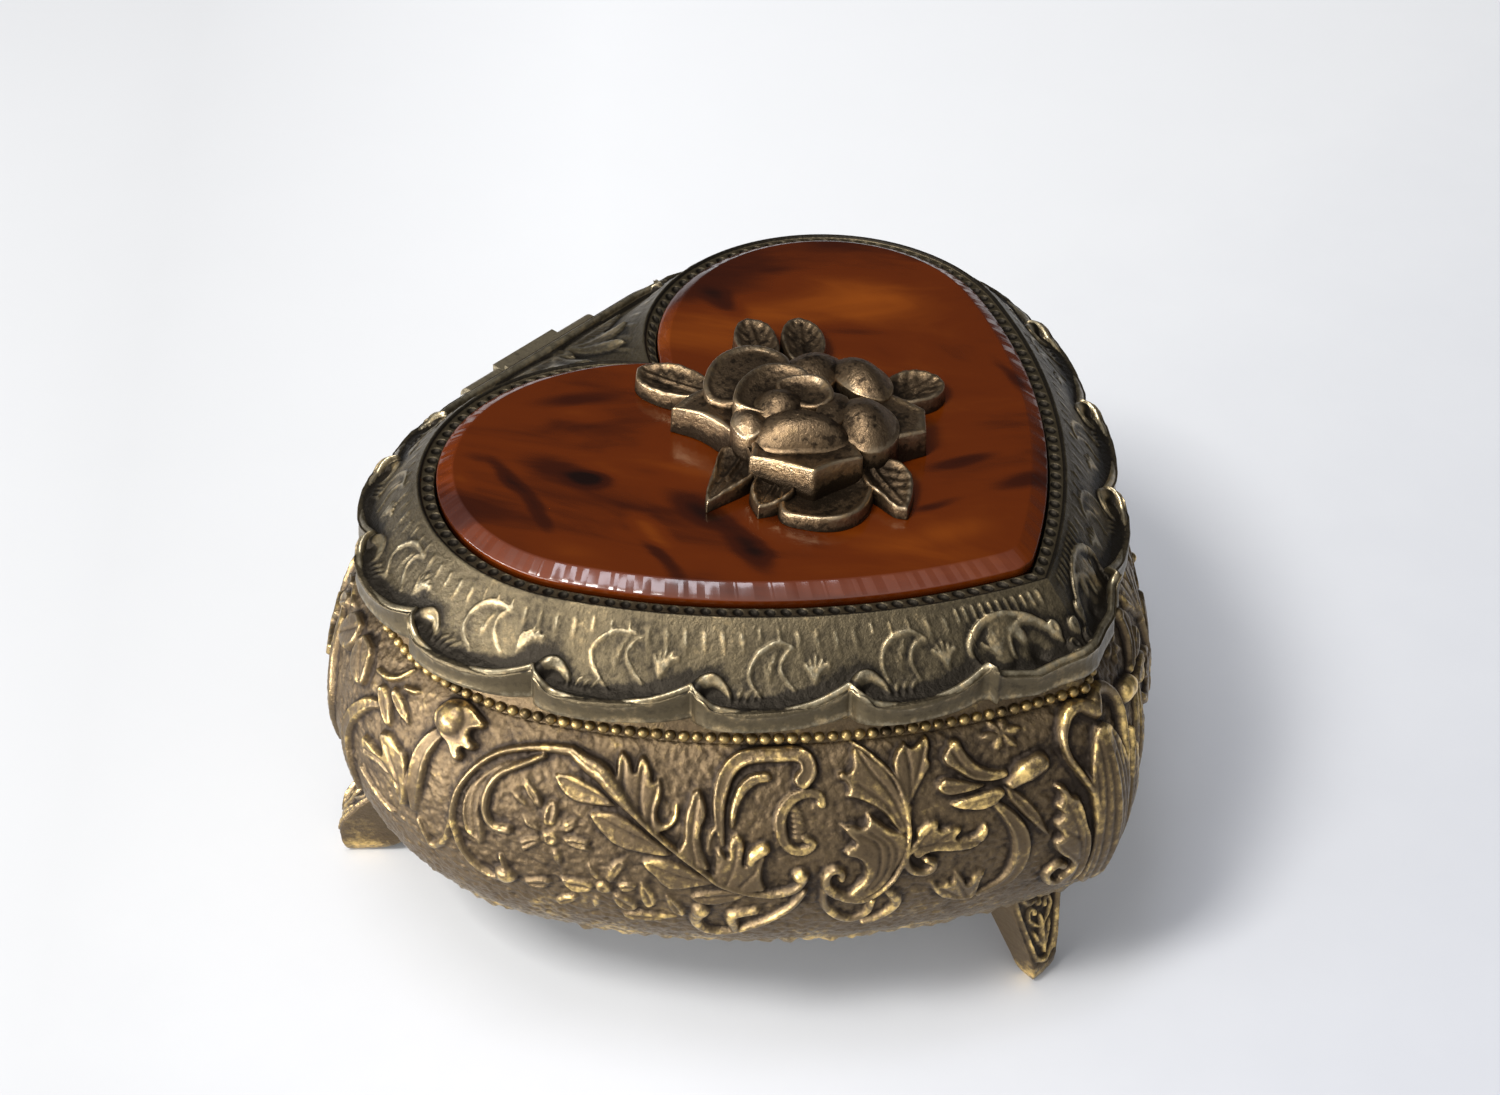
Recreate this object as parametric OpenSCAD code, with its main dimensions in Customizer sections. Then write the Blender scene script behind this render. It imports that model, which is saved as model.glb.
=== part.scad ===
// Heart-shaped trinket box on three feet: a cast bombe base, a hinged lid with a
// scalloped C-scroll rim, a bevelled plastic heart set in a bezel, and a cast rose.
// Millimetres, +Z up. The origin is on the table under the middle of the box, the
// heart's point is towards -Y and the hinge is on the straight back edge at +Y.

/* [Heart outline] */
// Half the distance between the two lobe centres
lobe_x = 17.3; // [16:0.1:18.5]
// Radius of a lobe, along the bezel ridge
lobe_r = 20.7; // [19.5:0.1:23]
// Radius of a long side curve, along the bezel ridge
side_r = 71.8; // [66:0.1:80]
// Angle below the lobe's centre line where the side curve starts
side_start = 25.9; // [22:0.1:30]

/* [Heights] */
// Underside of the base casting, above the table
base_bottom_z = 14.5; // [12:0.1:18]
// Height of the base casting, from its underside to the seam with the lid
base_h = 31.4; // [26:0.1:36]
// Height of the lid casting, from the seam to the bezel ridge
lid_h = 8.85; // [7.5:0.05:11]
// Running gap between base and lid at the seam
seam_gap = 0.15; // [0.1:0.01:0.3]

/* [Base casting] */
// How far the bulge stands outside the ridge outline
bulge_out = 10.5; // [8.5:0.1:12]
// How far the bottom edge stands outside the ridge outline
foot_ring_out = 4.3; // [3.6:0.1:5.5]
// How far the bead moulding under the lid stands outside the ridge outline
bead_out = 6.2; // [5.8:0.1:6.8]
// Wall thickness of the casting
wall = 2; // [1.4:0.1:2.4]
// Thickness of the inward lip that carries the bottom plate
lip_t = 1.6; // [1.2:0.1:2.4]
// Reach of the lip inside the bottom edge
lip_reach = 6.5; // [6:0.1:7]
// How far the bead moulding stands out from the neck above it
bead_d = 1.3; // [0.8:0.1:1.8]
// Height of the bead moulding
moulding_h = 1.6; // [1.2:0.1:2]
// Height of the plain neck above the bead moulding
neck_h = 1.5; // [1:0.1:2]
// Height of the highest scroll above the wall
relief_h = 1; // [0.6:0.1:1.2]

/* [Lid casting] */
// How far the rim stands outside the ridge outline, at the middle of a scallop
rim_out = 7.3; // [7:0.1:8]
// How far each scallop's ends are drawn in
scallop_depth = 2; // [0.5:0.1:2.6]
// Height of the plain band round the rim
band_h = 2.8; // [2.4:0.1:4]
// Height that the scrolls climb up the flange at the ends of a scallop
scroll_rise = 1.6; // [0:0.1:2]
// Width of the bead channel between ridge and inset
channel_w = 1.6; // [1.2:0.1:2.2]
// Depth of the bead channel under the ridge
channel_depth = 0.6; // [0.3:0.1:1]
// Width of the ridge's crest
ridge_w = 0.35; // [0.2:0.05:0.6]

/* [Heart inset] */
// Whole thickness of the plastic inset
inset_t = 2.9; // [2.4:0.1:3.6]
// Height of the bevel round its top
bevel_h = 1; // [0.5:0.1:1.4]
// Width of the bevel
bevel_w = 1.7; // [1:0.1:2.4]
// Depth of the seat under the channel floor
seat_depth = 0.8; // [0.5:0.1:1.2]
// Width of the ledge that carries the inset
ledge_w = 1.5; // [1:0.1:2]
// Gap round the inset in its seat
inset_gap = 0.1; // [0.05:0.01:0.3]

/* [Rose ornament] */
// Radius from the rose's middle to the tip of a large leaf
rose_r = 20; // [17:0.1:20.5]
// Thickness of the leaf layer
leaf_t = 2; // [1.6:0.1:2.6]
// Height of the bloom above the inset
bloom_h = 7; // [6:0.1:9]
// Radius of the core that the petals grow from
bloom_r = 7.5; // [7:0.1:9]
// Radius of the bud in its middle
bud_r = 2.4; // [2:0.1:3]
// Radius of the stud through the inset
stud_r = 1.5; // [1.2:0.05:2]
// Turn of the rose against the box's centre line
rose_turn = 0; // [-20:1:20]

/* [Feet] */
// Height of a foot, from the table to the underside of the base casting
// is base_bottom_z; this is the width at its top
foot_w = 9.4; // [7:0.1:10]
// Width of the toe
toe_w = 3.8; // [3:0.1:5]
// How far the front toe stands outside the bottom edge's point
front_toe_out = 0.2; // [-1:0.1:2]
// How far a rear toe stands outside the ridge outline
rear_toe_out = 11.4; // [9:0.1:12.5]
// Direction of a rear foot from its lobe's centre
rear_foot_angle = 50; // [40:1:60]
// Radius of the rivet that holds a foot
rivet_r = 1.1; // [0.8:0.05:1.3]

/* [Hinge] */
// Radius of the hinge barrel
barrel_r = 1.5; // [1.3:0.05:1.6]
// Radius of the hinge pin
pin_r = 0.75; // [0.6:0.05:0.85]
// Length of the whole barrel
barrel_l = 20; // [16:0.5:26]
// Length of the middle knuckle, on the lid
lid_knuckle_l = 9.6; // [7:0.1:12]
// Gap between neighbouring knuckles
knuckle_gap = 0.2; // [0.1:0.05:0.4]
// Radial running clearance of the pin in the lid's knuckle
pin_play = 0.05; // [0.02:0.01:0.1]

/* [Linings and plates] */
// Thickness of the bottom plate
plate_t = 1.2; // [0.9:0.1:1.6]
// Thickness of the velvet floor pad
floor_pad_t = 2; // [1.5:0.1:3]
// Thickness of the velvet-covered card round the inside
wall_lining_t = 0.9; // [0.6:0.1:1.2]
// Thickness of the sheet-metal plate under the inset
lid_plate_t = 0.8; // [0.6:0.1:1]
// Thickness of the velvet pad inside the lid
lid_pad_t = 2.6; // [2.3:0.1:2.8]
// Fitting gap between plates or linings and the castings
fit_gap = 0.3; // [0.1:0.05:0.4]

/* [Hidden] */

// Colours of the materials
brass_dark = [0.36, 0.31, 0.21];
pewter = [0.42, 0.40, 0.33];
bronze = [0.35, 0.27, 0.17];
amber = [0.55, 0.19, 0.03];
velvet = [0.45, 0.03, 0.06];
steel = [0.6, 0.6, 0.58];

// A face-to-face seat keeps this much air, so that neighbours never share volume
seat_air = 0.02;

// --- Levels ---
seam_z = base_bottom_z + base_h;
lid_z = seam_z + seam_gap;
ridge_z = lid_z + lid_h;
channel_z = ridge_z - channel_depth;
seat_z = channel_z - seat_depth;
ledge_t = 1.2;
ledge_z = seat_z - ledge_t;
inset_top_z = seat_z + seat_air + inset_t;
lid_plate_z = ledge_z - seat_air - lid_plate_t;
lid_pad_z = lid_plate_z - seat_air - lid_pad_t;
lip_top_z = base_bottom_z + lip_t;
plate_z = lip_top_z + seat_air;
floor_pad_z = plate_z + plate_t + seat_air;
wall_lining_z = floor_pad_z + floor_pad_t + seat_air;

// --- Heart outline ---
// The side curve is tangent to its lobe, so its centre lies on the line through the
// lobe's centre at side_start below the centre line.
side_cx = lobe_x - (side_r - lobe_r) * cos(side_start);
side_cy = (side_r - lobe_r) * sin(side_start);
function tip_angle(out) = -acos(-side_cx / (side_r + out));
function tip_y(out) = heart_y + side_cy + (side_r + out) * sin(tip_angle(out));
function back_y(out) = heart_y + lobe_r + out;
function raw_tip_y(out) = side_cy + (side_r + out) * sin(tip_angle(out));
// The lobe centres sit at this y, so that the box's widest outline is centred on the origin
heart_y = -(lobe_r + bulge_out + raw_tip_y(bulge_out)) / 2;

function mix(a, b, t) = a + (b - a) * t;
function side_point(a, out) =
    [side_cx + (side_r + out) * cos(a), heart_y + side_cy + (side_r + out) * sin(a)];
function lobe_point(a, out) = [lobe_x + (lobe_r + out) * cos(a), heart_y + (lobe_r + out) * sin(a)];

// Share of the run from the point to the lobe's top that the side curve takes
side_run = (side_r + rim_out) * (-side_start - tip_angle(rim_out));
lobe_run = (lobe_r + rim_out) * (90 + side_start);
side_share = side_run / (side_run + lobe_run);

// A point of the right half at share f of the way from the heart's point to the lobe's top
function flank(f, out) = f < side_share
    ? side_point(mix(tip_angle(out), -side_start, f / side_share), out)
    : lobe_point(mix(-side_start, 90, (f - side_share) / (1 - side_share)), out);

// A point of the right half between the lobe's top (u = 0) and the centre line (u = 1).
// bridged = 0 follows the notch between the lobes, 1 runs straight across it.
notch_y0 = sqrt(lobe_r * lobe_r - lobe_x * lobe_x);
notch_pull = 1.1;
function notch_angle(out) = acos(-lobe_x / (lobe_r + max(out, lobe_x - lobe_r)));
function notch_y(out) =
    out < 0 ? notch_y0 + notch_pull * out : sqrt(pow(lobe_r + out, 2) - lobe_x * lobe_x);
function notch_point(u, out) =
    let (r = lobe_r + out, last = notch_angle(out), a = mix(90, last, u),
        end = [lobe_x + r * cos(last), r * sin(last)])
    [lobe_x + r * cos(a) - end[0] * pow(u, 3),
        heart_y + r * sin(a) + (notch_y(out) - end[1]) * pow(u, 3)];
function bridge_point(u, out) = [lobe_x * (1 - u), back_y(out)];
function back_point(u, out, bridged) = mix(notch_point(u, out), bridge_point(u, out), bridged);

// Shares of the flank where one scallop of the lid's rim meets the next
scallop_ends = [0, 0.103, 0.229, 0.371, 0.516, 0.658, 0.789, 0.912, 1];
points_per_scallop = 7;
back_points = 7;
lid_stations = [for (k = [0 : len(scallop_ends) - 2], j = [0 : points_per_scallop - 1])
    [mix(scallop_ends[k], scallop_ends[k + 1], j / points_per_scallop), j / points_per_scallop]];
base_station_count = 40;
base_stations = [for (i = [0 : base_station_count - 1]) [i / base_station_count, 0.5]];

// Fullness of a scallop, 0 at its ends and 1 in its middle
scallop_roundness = 0.65;
function fullness(u) = pow(sin(180 * u), scallop_roundness);

// One closed ring of the outline at a height. draw_in pulls the scallops' ends inwards,
// and rise lifts them.
function ring(stations, out, z, bridged, draw_in = 0, rise = 0) =
    let (half = concat(
        [for (s = stations)
            let (dip = 1 - fullness(s[1]), p = flank(s[0], out - draw_in * dip))
            [p[0], p[1], z + rise * dip]],
        [for (i = [0 : back_points]) let (u = i / back_points, fade = i == 0 ? 1 : 0,
            p = back_point(u, out - draw_in * fade, bridged)) [p[0], p[1], z + rise * fade]]))
    concat(half, [for (i = [len(half) - 2 : -1 : 1]) [-half[i][0], half[i][1], half[i][2]]]);

// Skin over rings. closed = true joins the last ring to the first, as round a tube;
// otherwise fans close the two ends at the given middle point of the heart.
heart_mid = [0, -8];
function flat_ring(rings) = [for (r = rings) for (p = r) p];
module skin(rings, closed) {
    n = len(rings[0]);
    m = len(rings);
    spans = closed ? m : m - 1;
    walls = [for (k = [0 : spans - 1], i = [0 : n - 1], t = [0, 1])
        let (near = k * n, far = ((k + 1) % m) * n, i2 = (i + 1) % n)
        t == 0 ? [near + i, near + i2, far + i2] : [near + i, far + i2, far + i]];
    caps = closed ? [] : concat(
        [for (i = [0 : n - 1]) [m * n, (i + 1) % n, i]],
        [for (i = [0 : n - 1]) [m * n + 1, (m - 1) * n + i, (m - 1) * n + (i + 1) % n]]);
    ends = closed ? [] : [
        [heart_mid[0], heart_y + heart_mid[1], rings[0][0][2]],
        [heart_mid[0], heart_y + heart_mid[1], rings[m - 1][0][2]]];
    polyhedron(
        points = concat(flat_ring(rings), ends),
        faces = [for (f = concat(walls, caps)) [f[0], f[2], f[1]]]);
}

// A flat heart-shaped plate
module heart_plate(out, z, t, bridged) {
    skin([ring(base_stations, out, z, bridged), ring(base_stations, out, z + t, bridged)], closed = false);
}

// --- Base ---
// Profile of the base wall: [outwards from the ridge outline, height as a share of base_h]
neck_out = bead_out - bead_d;
function base_out(share) =
    let (s = clamp01(share))
    foot_ring_out + (neck_out - foot_ring_out) * s
        + (bulge_out - foot_ring_out) * pow(sin(180 * pow(s, 0.92)), 0.62);
function clamp01(x) = max(0, min(1, x));

// Heights of the wall's outer rings, as shares of the height up to the bead moulding
outer_shares = [0, 0.035, 0.09, 0.18, 0.3, 0.42, 0.54, 0.66, 0.78, 0.88, 0.96];
inner_shares = [0.96, 0.82, 0.6, 0.35, 0.15];
moulding_top_z = seam_z - neck_h;
moulding_z = moulding_top_z - moulding_h;
wall_h = moulding_z - base_bottom_z;
throat_out = neck_out - wall;
function wall_z(share) = base_bottom_z + wall_h * share;
lip_top_out = base_out(lip_t / wall_h) - wall;
// The bottom plate and the linings go in through the throat
lining_out = throat_out - fit_gap;
// Half-round moulding: [share of its height, share of its stand-out]
moulding_steps = [[0, 0.1], [0.12, 0.62], [0.35, 0.95], [0.65, 0.95], [0.88, 0.62], [1, 0]];

// --- Relief of the base ---
// Ways along the outline are measured on the bulge, from the heart's point to the middle of
// the back, and ways up the wall along its profile
relief_out = 8.5;
side_len = (side_r + relief_out) * (-side_start - tip_angle(relief_out)) * PI / 180;
flank_len = side_len + (lobe_r + relief_out) * (90 + side_start) * PI / 180;
wall_parts = 20;
function running(v, n) = n == 0 ? 0 : v[n - 1] + running(v, n - 1);
wall_steps = [for (i = [1 : wall_parts])
    norm([base_out(i / wall_parts) - base_out((i - 1) / wall_parts), wall_h / wall_parts])];
wall_ways = [for (i = [0 : wall_parts]) [running(wall_steps, i), i / wall_parts]];
// The scrolls are placed on a half outline of 136.9 and a wall of 32.4 and follow both
drawn_along = 136.9;
drawn_up = 32.4;
along_k = (flank_len + lobe_x) / drawn_along;
up_k = running(wall_steps, wall_parts) / drawn_up;
function wall_across(s) =
    let (d = [base_out(s + 0.02) - base_out(s - 0.02), wall_h * 0.04]) [d[1], -d[0]] / norm(d);
function outline_at(along, out) = along < flank_len
    ? flank(along < side_len ? side_share * along / side_len
        : side_share + (1 - side_share) * (along - side_len) / (flank_len - side_len), out)
    : [lobe_x - (along - flank_len), back_y(out)];
function relief_point(along, up, lift) =
    let (s = lookup(up * up_k, wall_ways), n = wall_across(s),
        p = outline_at(along * along_k, base_out(s) + lift * n[0]))
    [p[0], p[1], wall_z(s) + lift * n[1]];

// A raised scroll, stem or leaf: [along, up, half width] at each of its points, and its
// height as a share of relief_h. Its foot is sunk into the wall and its top is narrower.
relief_root = 0.5;
relief_top = 0.7;
module scroll(line, share) {
    n = len(line);
    lift = relief_h * share;
    corners = [[-1, -relief_root], [-relief_top, lift], [relief_top, lift], [1, -relief_root]];
    pts = [for (i = [0 : n - 1])
        let (a = line[max(i - 1, 0)], b = line[min(i + 1, n - 1)],
            way = [b[0] - a[0], b[1] - a[1]], d = way / norm(way),
            q = line[i], w = q[2])
        for (k = corners) relief_point(q[0] - d[1] * w * k[0], q[1] + d[0] * w * k[0], k[1])];
    walls = [for (i = [0 : n - 2], j = [0 : 3], t = [0, 1])
        let (a = 4 * i + j, b = 4 * i + (j + 1) % 4)
        t == 0 ? [a, b, b + 4] : [a, b + 4, a + 4]];
    e = 4 * (n - 1);
    ends = [[0, 2, 1], [0, 3, 2], [e, e + 1, e + 2], [e, e + 2, e + 3]];
    polyhedron(points = pts, faces = concat(walls, ends));
}

// The main scrolls and leaves of one flank: [height share, points]. They come again
// behind, mirrored where the lobe is widest.
front_scrolls = [
    // Large C-scroll and the daisies' stem
    [0.8, [[53, 27.7, 1.2], [57, 29.8, 1.1], [61, 29.3, 0.8], [65, 27.2, 0.7], [68, 23, 0.7],
        [68.3, 19, 0.7], [66.5, 15.2, 0.8], [63, 13.3, 1.4]]],
    [0.8, [[55.5, 29.2, 1.3], [51, 26.2, 1], [47, 22, 0.7], [42, 17.4, 0.6], [38.5, 15.3, 0.6],
        [35, 14.7, 0.7], [32.7, 17.5, 1.1]]],
    // Pair of small C-scrolls
    [0.8, [[32.7, 28.4, 1.2], [31.9, 30.2, 1.2], [34.5, 31.3, 1.1], [38, 30.4, 0.9],
        [40.4, 27.5, 0.8], [41, 24, 0.5]]],
    [0.6, [[34.2, 26.5, 0.8], [35, 23.6, 0.7], [33.2, 20.7, 0.8]]],
    // Acanthus S-scroll and its leaves
    [0.7, [[26.5, 31.4, 0.6], [24, 29, 0.8], [22.9, 25, 0.9], [23.2, 20, 1], [25, 15.3, 0.8],
        [28.5, 14, 0.7], [30.3, 17, 1.2]]],
    [0.55, [[24.7, 16.5, 0.8], [25.8, 20.3, 2.2], [28.3, 23.6, 0.5]]],
    [0.5, [[24.4, 23.5, 0.8], [25.5, 28, 1.9], [27.2, 32, 0.4]]],
    // Trumpet flower near the point
    [0.7, [[13.3, 23.2, 0.8], [10.9, 19, 1.1], [10.8, 14, 1.1], [14.5, 10.7, 0.6]]],
    [1, [[12.5, 23.8, 0.7], [9.5, 25.6, 1.9], [6.5, 27.2, 0.6]]],
    // Bud on the lobe
    [0.9, [[72.9, 17.8, 0.8], [72.7, 22, 1.1], [71.6, 26.5, 1.2], [70.2, 30.3, 2.2]]],
    // Upright leaves of the spray
    [0.55, [[42, 17.8, 0.7], [43.9, 22.5, 1.7], [43.7, 27.5, 0.4]]],
    [0.5, [[47.6, 23, 0.6], [49.2, 26.8, 1.8], [50.5, 30.8, 0.4]]],
    // Low curl and the band round the lobe
    [0.5, [[43, 12, 1.1], [42.5, 8.8, 0.7], [39.5, 8, 0.7], [36, 10.5, 0.7], [33.4, 14.2, 0.5]]],
    [0.6, [[83.2, 28, 0.8], [82.6, 25.2, 0.9], [85, 22, 1], [87.4, 17, 0.7]]],
    // Acanthus that clasps the point
    [0.9, [[2.9, 8, 0.9], [3.2, 15, 2], [2.8, 23, 1.8], [1.6, 29.5, 0.8]]],
    [0.8, [[5.7, 10, 0.7], [6, 16, 1.5], [7.3, 22, 0.5]]]];
back_fold = 88.6;
function behind(line) = [for (p = line)
    let (along = 2 * back_fold - p[0])
    if (along + p[2] < drawn_along - 0.6) [along, p[1], p[2]]];
module flank_scrolls() {
    for (c = front_scrolls) {
        scroll(c[1], c[0]);
        if (len(behind(c[1])) > 1) scroll(behind(c[1]), c[0]);
    }
}

// The hollow wall: lip, outside, bead moulding, neck, and back down the inside
module base_wall() {
    skin(concat(
        [ring(base_stations, foot_ring_out - lip_reach, lip_top_z, 1)],
        [ring(base_stations, foot_ring_out - lip_reach, base_bottom_z, 1)],
        [for (s = outer_shares) ring(base_stations, base_out(s), wall_z(s), 1)],
        [for (m = moulding_steps)
            ring(base_stations, mix(neck_out, bead_out, m[1]), mix(moulding_z, moulding_top_z, m[0]), 1)],
        [ring(base_stations, neck_out, seam_z, 1),
         ring(base_stations, throat_out, seam_z, 1),
         ring(base_stations, throat_out, moulding_z, 1)],
        [for (s = inner_shares) ring(base_stations, base_out(s) - wall, wall_z(s), 1)],
        [ring(base_stations, lip_top_out, lip_top_z, 1)]), closed = true);
}

module base_shell() {
    color(brass_dark)
    difference() {
        union() {
            base_wall();
            flank_scrolls();
            mirror([1, 0, 0]) flank_scrolls();
        }
        at_feet() translate([0, 0, base_bottom_z - 1])
            cylinder(r = rivet_r + seat_air, h = lip_t + 2, $fn = 32);
    }
}

module bottom_plate() {
    color(steel)
    difference() {
        heart_plate(lining_out, plate_z, plate_t, 1);
        at_feet() {
            translate([0, 0, plate_z - 1]) cylinder(r = rivet_r + seat_air, h = plate_t + 2, $fn = 32);
            translate([0, 0, rivet_head_z]) cylinder(r = rivet_head_r + seat_air, h = plate_t, $fn = 32);
        }
    }
}

// --- Feet ---
rivet_head_r = 1.8 * rivet_r;
rivet_head_t = 0.6;
rivet_head_z = plate_z + plate_t - rivet_head_t;
rivet_depth = 4;
// The rivets stand where the plate lies on the lip
rivet_out = (lining_out + foot_ring_out - lip_reach) / 2;
front_toe = [0, tip_y(foot_ring_out) - front_toe_out];
rear_toe = lobe_point(rear_foot_angle, rear_toe_out);
rear_rivet = lobe_point(rear_foot_angle, rivet_out);
front_rivet = [0, tip_y(rivet_out)];
front_reach = front_rivet[1] - front_toe[1];
front_lean = front_toe_out + 2.2;

module at_feet() {
    translate(front_rivet) children();
    translate(rear_rivet) children();
    mirror([1, 0, 0]) translate(rear_rivet) children();
}

// A cast foot, its toe at the origin and its outer face towards +X. reach is the
// distance from the toe in to the rivet, lean how far the toe stands outside the top of
// the outer face, and heel the height of the sole halfway in.
foot_fn = 16;
toe_h = 4;
boss_wall = 0.9;
module foot(reach, lean, heel) {
    top = base_bottom_z - seat_air;
    pad_t = 1.2;
    difference() {
        union() {
            hull() {
                translate([-reach, 0, top - pad_t]) cylinder(r = foot_w * 0.4, h = pad_t, $fn = foot_fn);
                translate([-lean - 1, -foot_w / 2, top - pad_t]) cube([1, foot_w, pad_t]);
                translate([-(lean + reach) / 2, 0, heel]) cylinder(r = toe_w * 0.55, h = 1, $fn = foot_fn);
                translate([-toe_w / 2, 0, toe_h * 0.5]) sphere(r = toe_w / 2, $fn = foot_fn);
                translate([-toe_w * 0.5, 0, 0]) cylinder(r = toe_w * 0.32, h = 0.6, $fn = foot_fn);
            }
            translate([-reach, 0, top - rivet_depth - boss_wall])
                cylinder(r = rivet_r + boss_wall, h = rivet_depth + boss_wall, $fn = foot_fn);
        }
        translate([-reach, 0, top - rivet_depth])
            cylinder(r = rivet_r + seat_air, h = rivet_depth + 1, $fn = 32);
    }
}

rear_reach = norm(rear_toe - rear_rivet);
module foot_front() color(brass_dark) translate(front_toe) rotate(-90)
    foot(front_reach, front_lean, base_bottom_z * 0.45);
module foot_right() color(brass_dark) translate(rear_toe) rotate(rear_foot_angle)
    foot(rear_reach, rear_toe_out - foot_ring_out + 0.4, base_bottom_z * 0.16);
module foot_left() mirror([1, 0, 0]) foot_right();

module foot_rivets() {
    color(steel)
    at_feet() {
        translate([0, 0, base_bottom_z - rivet_depth + 0.3])
            cylinder(r = rivet_r, h = rivet_head_z - base_bottom_z + rivet_depth - 0.3, $fn = 32);
        translate([0, 0, rivet_head_z]) cylinder(r = rivet_head_r, h = rivet_head_t, $fn = 32);
    }
}

// --- Base linings ---
module floor_lining() {
    color(velvet) heart_plate(lining_out, floor_pad_z, floor_pad_t, 1);
}

module wall_lining() {
    inner_out = lining_out - wall_lining_t;
    top = seam_z - 1.2;
    color(velvet) skin([
        ring(base_stations, lining_out, wall_lining_z, 1),
        ring(base_stations, lining_out, top, 1),
        ring(base_stations, inner_out, top, 1),
        ring(base_stations, inner_out, wall_lining_z, 1)], closed = true);
}

// --- Hinge ---
hinge_out = rim_out + barrel_r + seam_gap;
hinge_y = back_y(hinge_out);
hinge_z = seam_z + seam_gap / 2;
base_knuckle_l = (barrel_l - lid_knuckle_l) / 2 - knuckle_gap;

module barrel(l) {
    rotate([0, 90, 0]) cylinder(r = barrel_r, h = l, center = true, $fn = 48);
}

// Two knuckles with feet that are soldered to the bead moulding
module base_knuckles() {
    pad_y = back_y(bead_out) + seat_air;
    pad_h = moulding_top_z - moulding_z;
    color(brass_dark)
    for (side = [-1, 1])
        translate([side * (barrel_l - base_knuckle_l) / 2, 0, 0])
        difference() {
            union() {
                translate([0, hinge_y, hinge_z]) barrel(base_knuckle_l);
                translate([-base_knuckle_l / 2, pad_y, moulding_z])
                    cube([base_knuckle_l, hinge_y - pad_y + barrel_r, pad_h]);
                translate([-base_knuckle_l / 2, hinge_y - barrel_r, moulding_z])
                    cube([base_knuckle_l, 2 * barrel_r, hinge_z - moulding_z]);
            }
            translate([0, hinge_y, hinge_z]) rotate([0, 90, 0])
                cylinder(r = pin_r + seat_air, h = base_knuckle_l + 2, center = true, $fn = 48);
        }
}

// One knuckle with a pad that is soldered to the lid's band
module lid_knuckle() {
    pad_y = back_y(rim_out) + seat_air;
    pad_top = lid_z + band_h * 0.8;
    color(pewter)
    difference() {
        union() {
            translate([0, hinge_y, hinge_z]) barrel(lid_knuckle_l);
            translate([-lid_knuckle_l / 2, pad_y, hinge_z]) {
                cube([lid_knuckle_l, hinge_y - pad_y + barrel_r, barrel_r]);
                cube([lid_knuckle_l, barrel_r * 0.8, pad_top - hinge_z]);
            }
        }
        translate([0, hinge_y, hinge_z]) rotate([0, 90, 0])
            cylinder(r = pin_r + pin_play, h = lid_knuckle_l + 2, center = true, $fn = 48);
    }
}

module hinge_pin() {
    head_t = 0.5;
    color(steel)
    translate([0, hinge_y, hinge_z]) rotate([0, 90, 0]) {
        cylinder(r = pin_r, h = barrel_l + 2 * head_t, center = true, $fn = 48);
        for (side = [-1, 1])
            translate([0, 0, side * (barrel_l / 2 + knuckle_gap / 2 + head_t / 2)])
                cylinder(r = pin_r * 1.35, h = head_t, center = true, $fn = 48);
    }
}

// --- Lid ---
seat_out = -ridge_w - channel_w;
ledge_out = seat_out - ledge_w;
band_top_z = lid_z + band_h;
land_in = throat_out;
module lid_frame() {
    color(pewter)
    skin([
        ring(lid_stations, ledge_out, ledge_z, 0),
        ring(lid_stations, ledge_out, seat_z, 0),
        ring(lid_stations, seat_out, seat_z, 0),
        ring(lid_stations, seat_out, channel_z, 0),
        ring(lid_stations, -ridge_w - 0.25, channel_z, 0),
        ring(lid_stations, -ridge_w, ridge_z, 0),
        ring(lid_stations, 0, ridge_z, 0),
        ring(lid_stations, 1.1, ridge_z - lid_h * 0.16, 0.08),
        ring(lid_stations, 2.9, ridge_z - lid_h * 0.37, 0.4, draw_in = scallop_depth * 0.3),
        ring(lid_stations, rim_out - 2.4, mix(band_top_z, ridge_z, 0.08), 0.8,
            draw_in = scallop_depth, rise = scroll_rise),
        ring(lid_stations, rim_out - 1.2, band_top_z - 0.5, 0.9,
            draw_in = scallop_depth, rise = scroll_rise),
        ring(lid_stations, rim_out - 0.8, band_top_z, 0.95, draw_in = scallop_depth, rise = scroll_rise),
        ring(lid_stations, rim_out, band_top_z - 0.5, 1, draw_in = scallop_depth, rise = scroll_rise * 0.6),
        ring(lid_stations, rim_out, lid_z, 1, draw_in = scallop_depth),
        ring(lid_stations, land_in, lid_z, 1),
        ring(lid_stations, land_in, lid_z + 1.6, 1),
        ring(lid_stations, 0.9, ledge_z, 0.15)], closed = true);
}

module inset_panel() {
    out = seat_out - inset_gap;
    z0 = seat_z + seat_air;
    color(amber)
    difference() {
        skin([
            ring(base_stations, out, z0, 0),
            ring(base_stations, out, inset_top_z - bevel_h, 0),
            ring(base_stations, out - bevel_w, inset_top_z, 0)], closed = false);
        at_rose() translate([0, 0, z0 - 1]) cylinder(r = stud_r + seat_air, h = inset_t + 2, $fn = 48);
    }
}

module lid_plate() {
    color(steel)
    difference() {
        heart_plate(-fit_gap, lid_plate_z, lid_plate_t, 0);
        at_rose() translate([0, 0, lid_plate_z - 1])
            cylinder(r = stud_r + seat_air, h = lid_plate_t + 2, $fn = 48);
    }
}

// The velvet pad has a blind pocket that hides the nut
nut_r = 2.9;
nut_t = 1.4;
washer_r = 3.4;
washer_t = 0.4;
module lid_lining() {
    pocket_t = washer_t + nut_t + 0.2;
    color(velvet)
    difference() {
        heart_plate(-2 * fit_gap, lid_pad_z, lid_pad_t, 0);
        at_rose() translate([0, 0, lid_plate_z - pocket_t])
            cylinder(r = washer_r + fit_gap, h = pocket_t + 1, $fn = 48);
    }
}

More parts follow.
